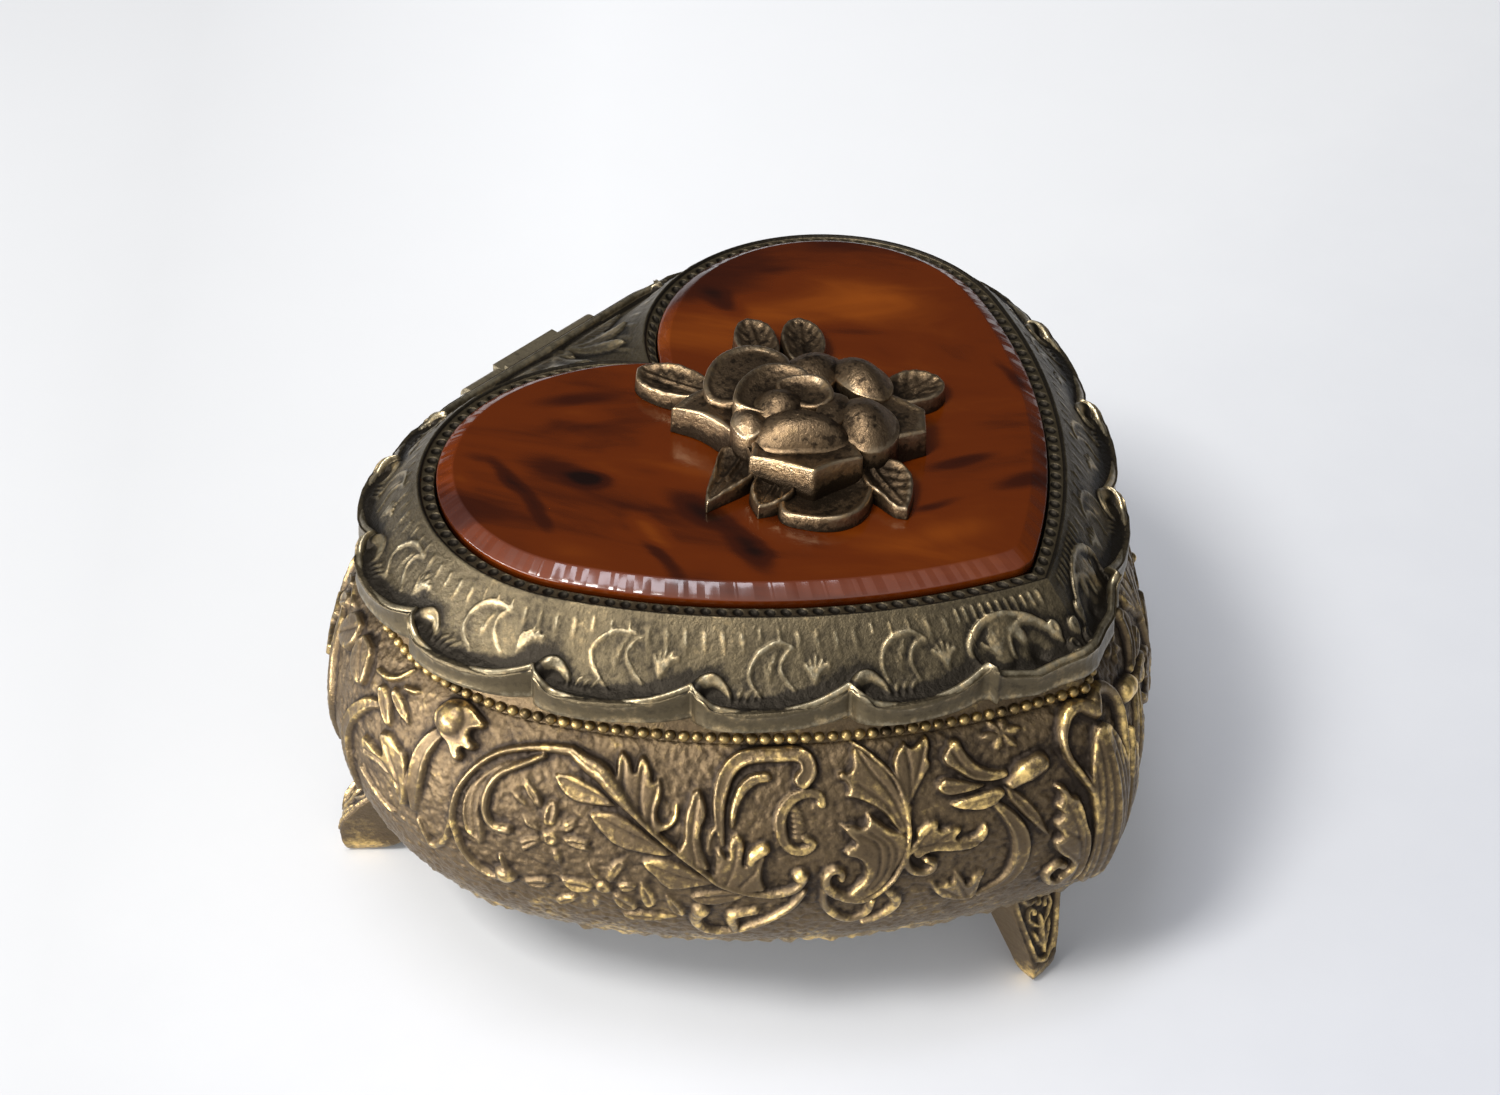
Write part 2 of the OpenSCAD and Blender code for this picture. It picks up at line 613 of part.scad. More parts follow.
// --- Rose ---
rose_x = -2;
rose_y = -10.3;
module at_rose() translate([rose_x, heart_y + rose_y, 0]) rotate(rose_turn) children();

// The places and heights below are drawn for a rose of radius 20 with a bloom 7 high, and
// follow rose_r and bloom_h
rose_k = rose_r / 20;
bloom_k = bloom_h / 7;

// A pointed leaf along +X: where two circles cross
module leaf(l, w) {
    r = (l * l / 4 + w * w / 4) / w;
    intersection() {
        translate([l / 2, w / 2 - r]) circle(r = r, $fn = 96);
        translate([l / 2, r - w / 2]) circle(r = r, $fn = 96);
    }
}

// Each leaf: [direction, share of rose_r at its tip, length, width]
rose_leaves = [
    [98.5, 0.95, 12, 6.4],
    [54.5, 1, 12, 6.2],
    [37.5, 1, 12, 6.2],
    [-19, 0.93, 12, 6.6],
    [-96, 0.89, 11, 6.4],
    [-172, 0.73, 9, 5.6],
    [-150, 0.66, 8, 5.4]];

// A cast pad with upright sides and a crowned top
module pad(middle, edge_z, top_z, keep) {
    linear_extrude(edge_z * bloom_k) scale([rose_k, rose_k]) children();
    translate([rose_k * middle[0], rose_k * middle[1], edge_z * bloom_k])
        linear_extrude((top_z - edge_z) * bloom_k, scale = keep)
        scale([rose_k, rose_k]) translate([-middle[0], -middle[1]]) children();
}

// The corners of an oval petal
petal_sides = 14;
function oval(middle, a, b, turn) = [for (i = [0 : petal_sides - 1])
    let (t = 360 * i / petal_sides, x = a * cos(t), y = b * sin(t))
    [middle[0] + x * cos(turn) - y * sin(turn), middle[1] + x * sin(turn) + y * cos(turn)]];

// Pointed outer petals: [middle, height at the edge, height of the crown, corners]
sepals = [
    [[-4, 3.5], 3.2, 3.6,
        [[-7, 9.5], [-6.2, 6.5], [-6.4, 2.5], [-7.9, -2.3], [-2, -2.5], [1, 5], [-2, 9]]],
    [[-5, -5.5], 4.2, 4.6,
        [[-8.7, -2.6], [-7.8, -5.6], [-6.7, -9.4], [-4.2, -10], [-1.2, -11.1], [1, -5], [-4, -1]]],
    [[6, -8], 2.9, 3.3, [[10.4, -5.3], [10.5, -9.8], [7.7, -12.1], [5.4, -11.2], [1.2, -9.4], [2, -5]]],
    [[-5, -9.5], 1.5, 1.7,
        [[-10.5, -8.6], [-9.8, -11.4], [-8.1, -13.6], [-5.7, -14.4], [-3.3, -13.8], [-1.2, -12.2],
            [-2, -7], [-8, -5]]]];

// Rounded petals: [middle, half length, half width, turn, height at the edge, of the crown]
petals = [
    [[0.8, 6.2], 5.6, 4.2, -5, 4.3, 5.1],
    [[7.4, 1.6], 4.2, 3.4, 30, 4.1, 5],
    [[8.9, -2.2], 4.4, 3.6, -65, 4, 5],
    [[2.7, -7.9], 3.9, 3.6, -40, 4.6, 6],
    [[-3.9, -4.8], 5, 3, -52, 4.2, 6.1],
    [[-0.5, 0.6], 5, 4.4, 20, 5.3, 6.5],
    [[0.6, -2.2], 3.6, 3, 60, 5.6, 6.6]];

module rose_ornament() {
    z0 = inset_top_z + seat_air;
    color(bronze)
    difference() {
        at_rose() translate([0, 0, z0]) {
            for (l = rose_leaves)
                rotate(l[0]) translate([rose_r * l[1] - l[2] * rose_k, 0, 0])
                    linear_extrude(leaf_t) scale([rose_k, rose_k]) leaf(l[2], l[3]);
            cylinder(r = bloom_r, h = leaf_t + 1.4, $fn = 64);
            for (p = sepals) pad(p[0], p[1], p[2], 0.75) polygon(p[3]);
            for (p = petals) pad(p[0], p[4], p[5], 0.55) polygon(oval(p[0], p[1], p[2], p[3]));
            translate([bud_x * rose_k, bud_y * rose_k, 0]) {
                cylinder(r = bud_r, h = bloom_h - bud_r, $fn = 48);
                translate([0, 0, bloom_h - bud_r]) sphere(r = bud_r, $fn = 48);
            }
        }
        at_rose() translate([0, 0, z0 - 1]) cylinder(r = stud_r + seat_air, h = stud_in + 1, $fn = 48);
    }
}

// The bud stands a little off the stud
bud_x = -1.1;
bud_y = -0.4;
stud_in = 3;
stud_bottom_z = lid_plate_z - washer_t - nut_t;
module rose_stud() {
    color(steel)
    at_rose() translate([0, 0, stud_bottom_z])
        cylinder(r = stud_r, h = inset_top_z + stud_in - stud_bottom_z, $fn = 48);
}

module rose_washer() {
    color(steel)
    at_rose() translate([0, 0, lid_plate_z - washer_t - seat_air])
    difference() {
        cylinder(r = washer_r, h = washer_t, $fn = 48);
        translate([0, 0, -1]) cylinder(r = stud_r + seat_air, h = washer_t + 2, $fn = 48);
    }
}

module rose_nut() {
    color(steel)
    at_rose() translate([0, 0, lid_plate_z - washer_t - nut_t - 2 * seat_air])
    difference() {
        cylinder(r = nut_r, h = nut_t, $fn = 6);
        translate([0, 0, -1]) cylinder(r = stud_r + seat_air, h = nut_t + 2, $fn = 48);
    }
}

base_shell();
bottom_plate();
foot_front();
foot_left();
foot_right();
foot_rivets();
floor_lining();
wall_lining();
base_knuckles();
hinge_pin();
lid_frame();
lid_knuckle();
inset_panel();
lid_plate();
lid_lining();
rose_ornament();
rose_stud();
rose_washer();
rose_nut();
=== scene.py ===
import math

import bmesh
import bpy
import numpy as np
from mathutils import Matrix, Vector


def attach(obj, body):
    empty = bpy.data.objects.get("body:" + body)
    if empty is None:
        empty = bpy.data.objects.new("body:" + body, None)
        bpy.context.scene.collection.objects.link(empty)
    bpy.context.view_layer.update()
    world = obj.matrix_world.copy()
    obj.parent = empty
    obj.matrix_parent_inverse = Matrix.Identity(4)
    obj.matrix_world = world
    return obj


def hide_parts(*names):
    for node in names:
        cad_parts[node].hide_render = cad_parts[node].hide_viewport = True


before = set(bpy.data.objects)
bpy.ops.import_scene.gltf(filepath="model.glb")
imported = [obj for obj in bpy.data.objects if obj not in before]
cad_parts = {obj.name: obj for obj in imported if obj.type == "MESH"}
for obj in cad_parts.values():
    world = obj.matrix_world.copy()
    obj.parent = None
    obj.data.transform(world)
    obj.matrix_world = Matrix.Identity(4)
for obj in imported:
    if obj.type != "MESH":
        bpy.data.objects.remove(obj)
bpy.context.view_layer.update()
print("frame loaded")

# All shapes are worked out in millimetres and turned into metres when a mesh is made
mm = 0.001

# Heart outline
heart = {
    "lobeX": 17.3,       # half the distance between the lobes' centres
    "lobeR": 20.7,       # lobe radius at the bezel ridge
    "sideR": 71.8,       # radius of the long side curves
    "sideStart": 25.9,   # degrees below the lobe's centre line where they start
    "bulgeOut": 10.5,    # widest outline of the base
    "reference": 8.5,    # stand-out at which the way along the outline is measured
}
lobeX, lobeR, sideR = heart["lobeX"], heart["lobeR"], heart["sideR"]
startAngle = math.radians(heart["sideStart"])
sideX = lobeX - (sideR - lobeR) * math.cos(startAngle)
sideY = (sideR - lobeR) * math.sin(startAngle)


def tipAngle(out):
    return -np.arccos(-sideX / (sideR + out))


def tipY(out):
    return sideY + (sideR + out) * np.sin(tipAngle(out))


heartY = -(lobeR + heart["bulgeOut"] + tipY(heart["bulgeOut"])) / 2
notchY = math.sqrt(lobeR ** 2 - lobeX ** 2)


# Length of the side curve and of the lobe at a stand-out
def curveLengths(out):
    return (sideR + out) * (-startAngle - tipAngle(out)), (lobeR + out) * (math.pi / 2 + startAngle)


# u is the way along the outline from the point, measured on the middle of the base's bulge
sideLength, lobeLength = curveLengths(heart["reference"])
flankLength = sideLength + lobeLength
halfLength = flankLength + lobeX


# x and y of the right half's outline, for u from 0 at the point to halfLength at the back's middle
def outline(u, out, bridged=1.0):
    u, out, bridged = np.broadcast_arrays(np.asarray(u, float), np.asarray(out, float), np.asarray(bridged, float))
    tip = tipAngle(out)
    a = tip + (-startAngle - tip) * np.clip(u / sideLength, 0, 1)
    xSide, ySide = sideX + (sideR + out) * np.cos(a), sideY + (sideR + out) * np.sin(a)
    r = lobeR + out
    b = -startAngle + (math.pi / 2 + startAngle) * np.clip((u - sideLength) / lobeLength, 0, 1)
    xLobe, yLobe = lobeX + r * np.cos(b), r * np.sin(b)
    t = np.clip((u - flankLength) / lobeX, 0, 1)
    last = np.arccos(-lobeX / (lobeR + np.maximum(out, lobeX - lobeR)))
    c = math.pi / 2 + (last - math.pi / 2) * t
    endX, endY = lobeX + r * np.cos(last), r * np.sin(last)
    meetY = np.where(out < 0, notchY + 1.1 * out, np.sqrt(np.maximum(r ** 2 - lobeX ** 2, 0)))
    xNotch = lobeX + r * np.cos(c) - endX * t ** 3
    yNotch = r * np.sin(c) + (meetY - endY) * t ** 3
    xBack = xNotch + (lobeX * (1 - t) - xNotch) * bridged
    yBack = yNotch + (lobeR + out - yNotch) * bridged
    x = np.where(u < sideLength, xSide, np.where(u < flankLength, xLobe, xBack))
    y = np.where(u < sideLength, ySide, np.where(u < flankLength, yLobe, yBack))
    return x, y + heartY


# Steps of u over the right half, with the number of points on its side, lobe and back
def outlineSteps(side, lobe, back):
    return np.concatenate([np.linspace(0, sideLength, side), np.linspace(sideLength, flankLength, lobe)[1:],
                           np.linspace(flankLength, halfLength, back)[1:]])


# The whole outline as a closed ring
def heartRing(u, out, bridged):
    x, y = outline(u, out, bridged)
    return np.concatenate([np.stack([x, y], -1), np.stack([-x, y], -1)[-2:0:-1]])


def addObject(name, data):
    obj = bpy.data.objects.new(name, data)
    bpy.context.scene.collection.objects.link(obj)
    return obj


def setValues(mesh, name, values):
    mesh.attributes.new(name, "FLOAT", "POINT").data.foreach_set("value", np.asarray(values, np.float32).ravel())


# Closes the open ends whose edges' heights in metres pass a test, and turns all faces outwards
def closeEnds(obj, *tests):
    work = bmesh.new()
    work.from_mesh(obj.data)
    for test in tests:
        end = [edge for edge in work.edges if edge.is_boundary and test([v.co.z for v in edge.verts])]
        bmesh.ops.contextual_create(work, geom=end)
    bmesh.ops.recalc_face_normals(work, faces=work.faces)
    work.to_mesh(obj.data)
    work.free()
    obj.data.update()


# A quad mesh over a grid of points, in millimetres. Rows run along the first index
def gridMesh(name, grid, closedRows=False, closedColumns=False, attributes=None):
    nu, nv = grid.shape[:2]
    mesh = bpy.data.meshes.new(name)
    mesh.vertices.add(nu * nv)
    mesh.vertices.foreach_set("co", (grid * mm).astype(np.float32).ravel())
    i = np.arange(nu if closedRows else nu - 1)
    j = np.arange(nv if closedColumns else nv - 1)
    i, j = np.meshgrid(i, j, indexing="ij")
    i2, j2 = (i + 1) % nu, (j + 1) % nv
    quads = np.stack([i * nv + j, i2 * nv + j, i2 * nv + j2, i * nv + j2], -1).reshape(-1, 4)
    mesh.loops.add(quads.size)
    mesh.loops.foreach_set("vertex_index", quads.ravel().astype(np.int32))
    mesh.polygons.add(len(quads))
    mesh.polygons.foreach_set("loop_start", np.arange(0, quads.size, 4, dtype=np.int32))
    mesh.update(calc_edges=True)
    for key, values in (attributes or {}).items():
        setValues(mesh, key, values)
    mesh.polygons.foreach_set("use_smooth", np.full(len(quads), True))
    obj = addObject(name, mesh)
    closeEnds(obj)
    return obj


# Points written as "x y, x y", and several such lines parted by semicolons
def points(text):
    return [tuple(float(number) for number in point.split()) for point in text.split(",")]


def paths(text):
    return [points(line) for line in text.split(";")]


# Smooth curve from b to c, with a before and d after them
def smooth(a, b, c, d, t):
    return 0.5 * (2 * b + (c - a) * t + (2 * a - 5 * b + 4 * c - d) * t ** 2 + (3 * b - a - 3 * c + d) * t ** 3)


# A smooth line through control points, with the share of the way along for each sample
def curvePoints(controls, step=0.25):
    p = np.asarray(controls, float)
    if len(p) == 2:
        n = max(2, int(np.linalg.norm(p[1] - p[0]) / step) + 1)
        t = np.linspace(0, 1, n)
        return p[0] + (p[1] - p[0]) * t[:, None], t
    ext = np.vstack([2 * p[0] - p[1], p, 2 * p[-1] - p[-2]])
    line = []
    for k in range(len(p) - 1):
        a, b, c, d = ext[k:k + 4]
        n = max(2, int(np.linalg.norm(c - b) / step) + 1)
        t = np.linspace(0, 1, n, endpoint=k == len(p) - 2)[:, None]
        line.append(smooth(a, b, c, d, t))
    line = np.vstack(line)
    along = np.concatenate([[0], np.cumsum(np.linalg.norm(np.diff(line, axis=0), axis=1))])
    return line, along / along[-1]


# Relief: heights and gilding over a grid of u along the outline and v up or across the surface
def newRelief(uRange, vRange, step):
    u = np.arange(uRange[0], uRange[1] + step / 2, step)
    v = np.arange(vRange[0], vRange[1] + step / 2, step)
    return {"u": u, "v": v, "step": step, "h": np.zeros((len(u), len(v))), "gilt": np.zeros((len(u), len(v)))}


# The part of the grid between two corners, and its coordinates
def window(relief, low, high):
    u, v = relief["u"], relief["v"]
    a, b = np.searchsorted(u, [low[0], high[0]])
    c, d = np.searchsorted(v, [low[1], high[1]])
    if a >= b or c >= d:
        return None
    grid = np.meshgrid(u[a:b], v[c:d], indexing="ij")
    return (slice(a, b), slice(c, d)), grid[0], grid[1]


# For each grid point: distance to the line and share of the way along it
def nearest(controls, uGrid, vGrid):
    line, along = curvePoints(controls)
    best = np.full(uGrid.shape, 1e9)
    share = np.zeros(uGrid.shape)
    for k in range(len(line) - 1):
        ax, ay = line[k]
        dx, dy = line[k + 1] - line[k]
        size = dx * dx + dy * dy + 1e-12
        t = np.clip(((uGrid - ax) * dx + (vGrid - ay) * dy) / size, 0, 1)
        ex, ey = uGrid - ax - t * dx, vGrid - ay - t * dy
        dist = ex * ex + ey * ey
        near = dist < best
        best = np.where(near, dist, best)
        share = np.where(near, along[k] + (along[k + 1] - along[k]) * t, share)
    return np.sqrt(best), share


# Adds a form: the surface is the higher of what is there and the form
def lay(relief, area, height, gilt=0.0):
    h = relief["h"][area]
    on = height > h
    relief["gilt"][area] = np.where(on, np.where(height > 0.02, gilt, relief["gilt"][area]), relief["gilt"][area])
    relief["h"][area] = np.maximum(h, height)


# A stem, scroll or lip along a line; radii are spread evenly along it
def stroke(relief, controls, radii, lift, form="round", gilt=0.3):
    radii, lift = np.atleast_1d(radii), np.atleast_1d(lift)
    reach = radii.max() + 0.3
    p = np.asarray(controls, float)
    found = window(relief, p.min(0) - reach - 1, p.max(0) + reach + 1)
    if not found:
        return
    area, uGrid, vGrid = found
    dist, share = nearest(controls, uGrid, vGrid)
    q = dist / np.interp(share, np.linspace(0, 1, len(radii)), radii)
    lifts = np.interp(share, np.linspace(0, 1, len(lift)), lift)
    if form == "round":
        height = lifts * np.sqrt(np.clip(1 - q ** 2, 0, 1))
    elif form == "lipped":
        height = lifts * np.clip((1 - q ** 6), 0, 1) * (0.62 + 0.38 * np.exp(-((q - 0.78) / 0.2) ** 2))
    else:
        height = lifts * np.clip(1 - q ** 4, 0, 1)
    lay(relief, area, np.where(q < 1, height, 0), gilt)


# A leaf along a line from its root to its tip, with a midrib and slanting veins
def leaf(relief, controls, halfWidth, lift, veins=1.0, gilt=0.3):
    p = np.asarray(controls, float)
    reach = halfWidth * 1.3 + 0.3
    found = window(relief, p.min(0) - reach, p.max(0) + reach)
    if not found:
        return
    area, uGrid, vGrid = found
    dist, share = nearest(controls, uGrid, vGrid)
    length = np.linalg.norm(np.diff(p, axis=0), axis=1).sum()
    width = halfWidth * np.interp(share, [0, 0.12, 0.35, 0.6, 0.85, 1], [0.35, 0.62, 1, 0.95, 0.55, 0.05])
    q = dist / np.maximum(width, 0.02)
    dome = np.sqrt(np.clip(1 - q ** 2, 0, 1)) ** 0.6
    rib = 0.16 * np.exp(-(dist / 0.16) ** 2)
    vein = 0.07 * veins * np.cos((share * length - dist * 0.9) * 2 * math.pi / 0.62) * np.clip(q * 2, 0, 1)
    height = lift * dome * (0.72 + 0.28 * (1 - q)) + dome * (rib * min(1, lift) + vein)
    lay(relief, area, np.where(q < 1, height, 0), gilt)


# A low leaf inside a drawn rim: rounded edge with a fine raised lip, engraved veins
def blade(relief, rim, lift, veins=(), lip=0.16, gilt=0.35):
    rim = np.asarray(rim, float)
    after = np.roll(rim, -1, axis=0)
    rim = np.stack([rim * 0.78 + after * 0.22, rim * 0.22 + after * 0.78], 1).reshape(-1, 2)
    found = window(relief, rim.min(0) - 0.3, rim.max(0) + 0.3)
    if not found:
        return
    area, uGrid, vGrid = found
    inside = np.zeros(uGrid.shape, bool)
    edge = np.full(uGrid.shape, 1e9)
    for (ax, ay), (bx, by) in zip(rim, np.roll(rim, -1, axis=0)):
        dx, dy = bx - ax, by - ay
        t = np.clip(((uGrid - ax) * dx + (vGrid - ay) * dy) / (dx * dx + dy * dy + 1e-9), 0, 1)
        edge = np.minimum(edge, np.hypot(uGrid - ax - t * dx, vGrid - ay - t * dy))
        if abs(dy) > 1e-9:
            inside ^= ((ay > vGrid) != (by > vGrid)) & (uGrid < ax + (vGrid - ay) * dx / dy)
    height = lift * (1 - np.exp(-(edge / 0.24) ** 2)) + lip * np.exp(-((edge - 0.3) / 0.17) ** 2)
    for vein in veins:
        height -= 0.2 * np.exp(-(nearest(vein, uGrid, vGrid)[0] / 0.17) ** 2)
    lay(relief, area, np.where(inside, np.maximum(height, 0.03), 0), gilt)


# A round knob, or a flat one with a dent in its middle
def ball(relief, centre, r, lift, pit=0.0, gilt=0.5):
    found = window(relief, np.array(centre) - r - 0.2, np.array(centre) + r + 0.2)
    if not found:
        return
    area, uGrid, vGrid = found
    q = np.hypot(uGrid - centre[0], vGrid - centre[1]) / r
    height = lift * np.sqrt(np.clip(1 - q ** 2, 0, 1))
    if pit:
        height = lift * np.clip(1 - q ** 4, 0, 1) - pit * np.exp(-(q / 0.5) ** 2)
    lay(relief, area, np.where(q < 1, height, 0), gilt)


# A rounded hollow
def sink(relief, centre, r, depth):
    found = window(relief, np.array(centre) - 2.2 * np.max(r), np.array(centre) + 2.2 * np.max(r))
    if not found:
        return
    area, uGrid, vGrid = found
    rr = np.atleast_1d(r)
    q2 = ((uGrid - centre[0]) / rr[0]) ** 2 + ((vGrid - centre[1]) / rr[-1]) ** 2
    relief["h"][area] -= depth * np.exp(-q2)


# Gaussian blur; sigma is in grid steps
def blur(field, sigma):
    n = max(1, int(sigma * 3))
    k = np.exp(-0.5 * (np.arange(-n, n + 1) / sigma) ** 2)
    k /= k.sum()
    for axis in (0, 1):
        pad = [(n, n) if a == axis else (0, 0) for a in (0, 1)]
        f = np.pad(field, pad, mode="edge")
        total = np.zeros_like(field)
        for i, w in enumerate(k):
            part = [slice(None), slice(None)]
            part[axis] = slice(i, i + field.shape[axis])
            total += w * f[tuple(part)]
        field = total
    return field


# Uneven casting ground: blurred noise of a given grain size
def roughen(shape, step, size, amount, seed):
    rng = np.random.default_rng(seed)
    noise = blur(rng.standard_normal(shape), max(size / step, 0.5))
    return noise / (noise.std() + 1e-9) * amount


# Base casting
base = {
    "bottom": 14.5, "height": 31.4, "footRing": 4.3, "bulge": 10.5, "beadOut": 6.2, "beadStand": 1.3,
    "neckHeight": 1.5, "mouldingHeight": 1.6, "wall": 2.0, "lip": 1.6, "lipReach": 6.5,
    "step": 0.16,        # relief grid
    "soften": 0.09,      # how far the relief's edges are softened
    "groundDrop": 0.3,   # how far the stippled ground lies under the nominal surface
    "seams": (0.0, 43.0, 88.6),      # where the wall's pieces start
    "turnAt": 88.6, "turnFrom": 37,  # the motifs past turnFrom are mirrored about turnAt
}
seamZ = base["bottom"] + base["height"]
neckOut = base["beadOut"] - base["beadStand"]
mouldingTop = seamZ - base["neckHeight"]
mouldingZ = mouldingTop - base["mouldingHeight"]
wallHeight = mouldingZ - base["bottom"]


def baseOut(share):
    s = np.clip(share, 0, 1)
    swell = np.sin(math.pi * s ** 0.92) ** 0.62
    return base["footRing"] + (base["bulge"] - base["footRing"]) * swell + (neckOut - base["footRing"]) * s


wallShare = np.linspace(0, 1, 500)
wallOut, wallZ = baseOut(wallShare), base["bottom"] + wallHeight * wallShare
wallV = np.concatenate([[0], np.cumsum(np.hypot(np.diff(wallOut), np.diff(wallZ)))])
wallTop = wallV[-1]


def basePoint(u, v):
    x, y = outline(np.abs(u), np.interp(v, wallV, wallOut))
    return np.stack([x * np.where(u < 0, -1, 1), y, np.broadcast_to(np.interp(v, wallV, wallZ), x.shape)], -1)


def baseRelief():
    r = newRelief((-3, halfLength + 3), (0, wallTop), base["step"])
    motifs = []

    def add(kind, *args, **named):
        args = [paths(arg) if isinstance(arg, str) else arg for arg in args]
        args[0] = args[0][0] if isinstance(args[0][0], list) else args[0]
        motifs.append((kind, args, named))

    # large C-scroll round the daisies: fluted lobe between an outer ridge and an inner one
    add(blade, "59.3 28.7, 61.7 28.2, 63.9 27.2, 65.6 25.6, 67 23.4, 67.5 21.2, 67.4 19.6, 66.9 17.7, "
        "65.9 17.3, 65.2 16.4, 64.7 17.6, 64.8 19.2, 65.2 20.8, 65.1 22.7, 64.4 24.6, 63.2 26.2, 61.6 27.4",
        0.4,
        "62 27.8, 64.8 25.4, 66 22.4, 65.7 18; 63.5 27.3, 66 24.6, 66.7 21.6, 66.4 18.4; 63.6 26.4, 65.2 24, "
        "65.4 20")
    add(stroke, "56.6 29.9, 58.5 29.8, 61 29.4, 63.3 28.6, 65.1 27.4, 66.7 25.4, 67.8 23.2, 68.3 21.1, "
        "68.4 19, 67.9 17.1, 67.3 15.4, 66.3 13.9, 64.8 12.9, 63.2 12.8",
        [0.6, 0.42, 0.36, 0.34, 0.34, 0.34, 0.4, 0.5], 0.72, gilt=0.55)
    add(stroke, "59.3 28.9, 61.6 27.5, 63.5 26.2, 64.5 24.6, 64.9 22.7, 64.7 21.1, 63.8 19.9, 62.4 19.9",
        [0.3, 0.4, 0.42, 0.42, 0.45, 0.6], 0.8, gilt=0.5)
    add(ball, (62.7, 13.4), 1.2, 1.0, gilt=0.8)
    add(stroke, "62.6 14, 63.2 16", [0.5, 0.12], 0.5)
    add(stroke, "68.4 19.4, 68.9 17.3, 69.5 15.1, 71.1 13.2, 71.8 14.4, 72.7 16.2",
        [0.3, 0.3, 0.34, 0.42, 0.34, 0.2], 0.5, gilt=0.5)
    # leaf spray
    add(blade, "58.3 27.3, 57 27.6, 55.7 27.5, 54.3 26.9, 52.9 26.3, 51.5 25.1, 51.1 24.7, 52.7 24.5, "
        "54.3 24.5, 55.5 24.5, 56.6 25, 57.5 25.9", 0.5, "51.3 24.9, 54 25.9, 57.2 26.9")
    add(blade, "54.3 23.5, 53.4 24, 51.8 24.2, 50.5 23.7, 49 22.8, 47.4 21.4, 46 20.2, 45.6 19.6, 47.1 19.5, "
        "49 19.7, 50.6 19.9, 51.9 20.5, 52.9 21.5, 53.7 22.5", 0.5, "45.8 19.8, 49.6 21.8, 53.3 23.3")
    add(blade, "49 18.6, 48 19.2, 46.5 19.3, 44.9 18.7, 43.5 17.9, 41.7 16.7, 41.2 16.2, 42.8 15.9, 44.4 15.4, "
        "46 15, 47 15.8, 47.7 16.9, 48.5 17.7", 0.5, "41.4 16.3, 45 17.1, 48.2 18.5")
    add(blade, "52 26.6, 51.7 28.3, 51.7 29.9, 51.3 30.9, 50.3 30.1, 50 29.3, 49.7 28.5, 49.5 30, 49 30.6, "
        "48.3 29.9, 47.9 28.9, 47.8 27.7, 47.3 28.7, 46.7 27.5, 46.9 26.1, 47.3 24.9, 47.2 23.8, 46.5 23.4, "
        "45.9 24.2, 45.6 26, 45.1 25.3, 45.2 23.9, 46 22.8, 47.2 22.2, 48.1 22.1, 49.5 23.9, 50.8 25.5", 0.62,
        "49.4 23.9, 50.7 26.4, 50.9 29.5; 48.8 23.6, 49.1 26, 48.9 29.3; 48 23, 47.9 25, 47.3 27.6")
    add(blade, "45.6 20.2, 44.8 21.7, 44.8 23.5, 44.6 25.1, 44.2 26.1, 44 27.2, 43.1 27.7, 42.6 26.6, "
        "42.3 25.5, 42.4 24.4, 42.9 23.1, 43 21.7, 42.7 20.3, 42 18.3, 42.3 17.9, 44 19", 0.65,
        "43.5 19.2, 43.9 22, 43.4 26.4; 42.9 19.5, 43.4 22")
    add(blade, "42.5 20.3, 42.5 21.8, 42.2 23.1, 41.6 23.9, 41.2 23.2, 41.9 22.1, 42.1 20.4, 42 18.9", 0.6)
    add(blade, "42.3 16.7, 41.8 17.9, 41.7 19.7, 41.5 21.2, 40.7 20.5, 40.4 19.8, 40.5 21.1, 40.2 22.2, "
        "39.5 22.9, 38.8 22.2, 38.6 21.1, 38.9 18.9, 38.3 19.4, 38.1 20.7, 37.2 21.4, 36.5 20.3, 37 18.5, "
        "37 16.9, 36.4 15.4, 38.4 15.2, 40.2 15.8, 41.4 16.2", 0.6,
        "40.6 16.4, 39.9 18.6, 39.5 21.4; 39.2 16.2, 37.7 18.4, 37.3 20.4; 41.6 16.8, 41.2 20", gilt=0.5)
    add(stroke, "38.3 19.2, 37.8 20.3, 37 20.9", [0.5, 0.75, 0.8], [0.8, 1.05, 1.05], gilt=0.9)
    add(blade, "44.4 14, 43 15, 40.7 15.5, 37.8 15.3, 39 14, 41.2 13, 43 13", 0.42, "38.4 15, 43.6 14")
    add(stroke, "56.4 29.9, 55.1 29.1, 53.1 28.1, 51.9 26.9, 49.9 24.7, 47.4 22.2, 44.9 19.9, 42.5 17.7, "
        "41.2 16.4, 38.4 15.2, 35.8 14.9, 33.8 15.6, 32.9 17",
        [0.6, 1.1, 1.0, 0.5, 0.34, 0.32, 0.3, 0.3, 0.36, 0.45, 0.5], [0.8, 1.2, 1.1, 0.95, 0.9, 0.85, 0.8, 0.8],
        gilt=0.6)
    add(ball, (33.3, 17.4), 0.9, 1.0, gilt=0.9)
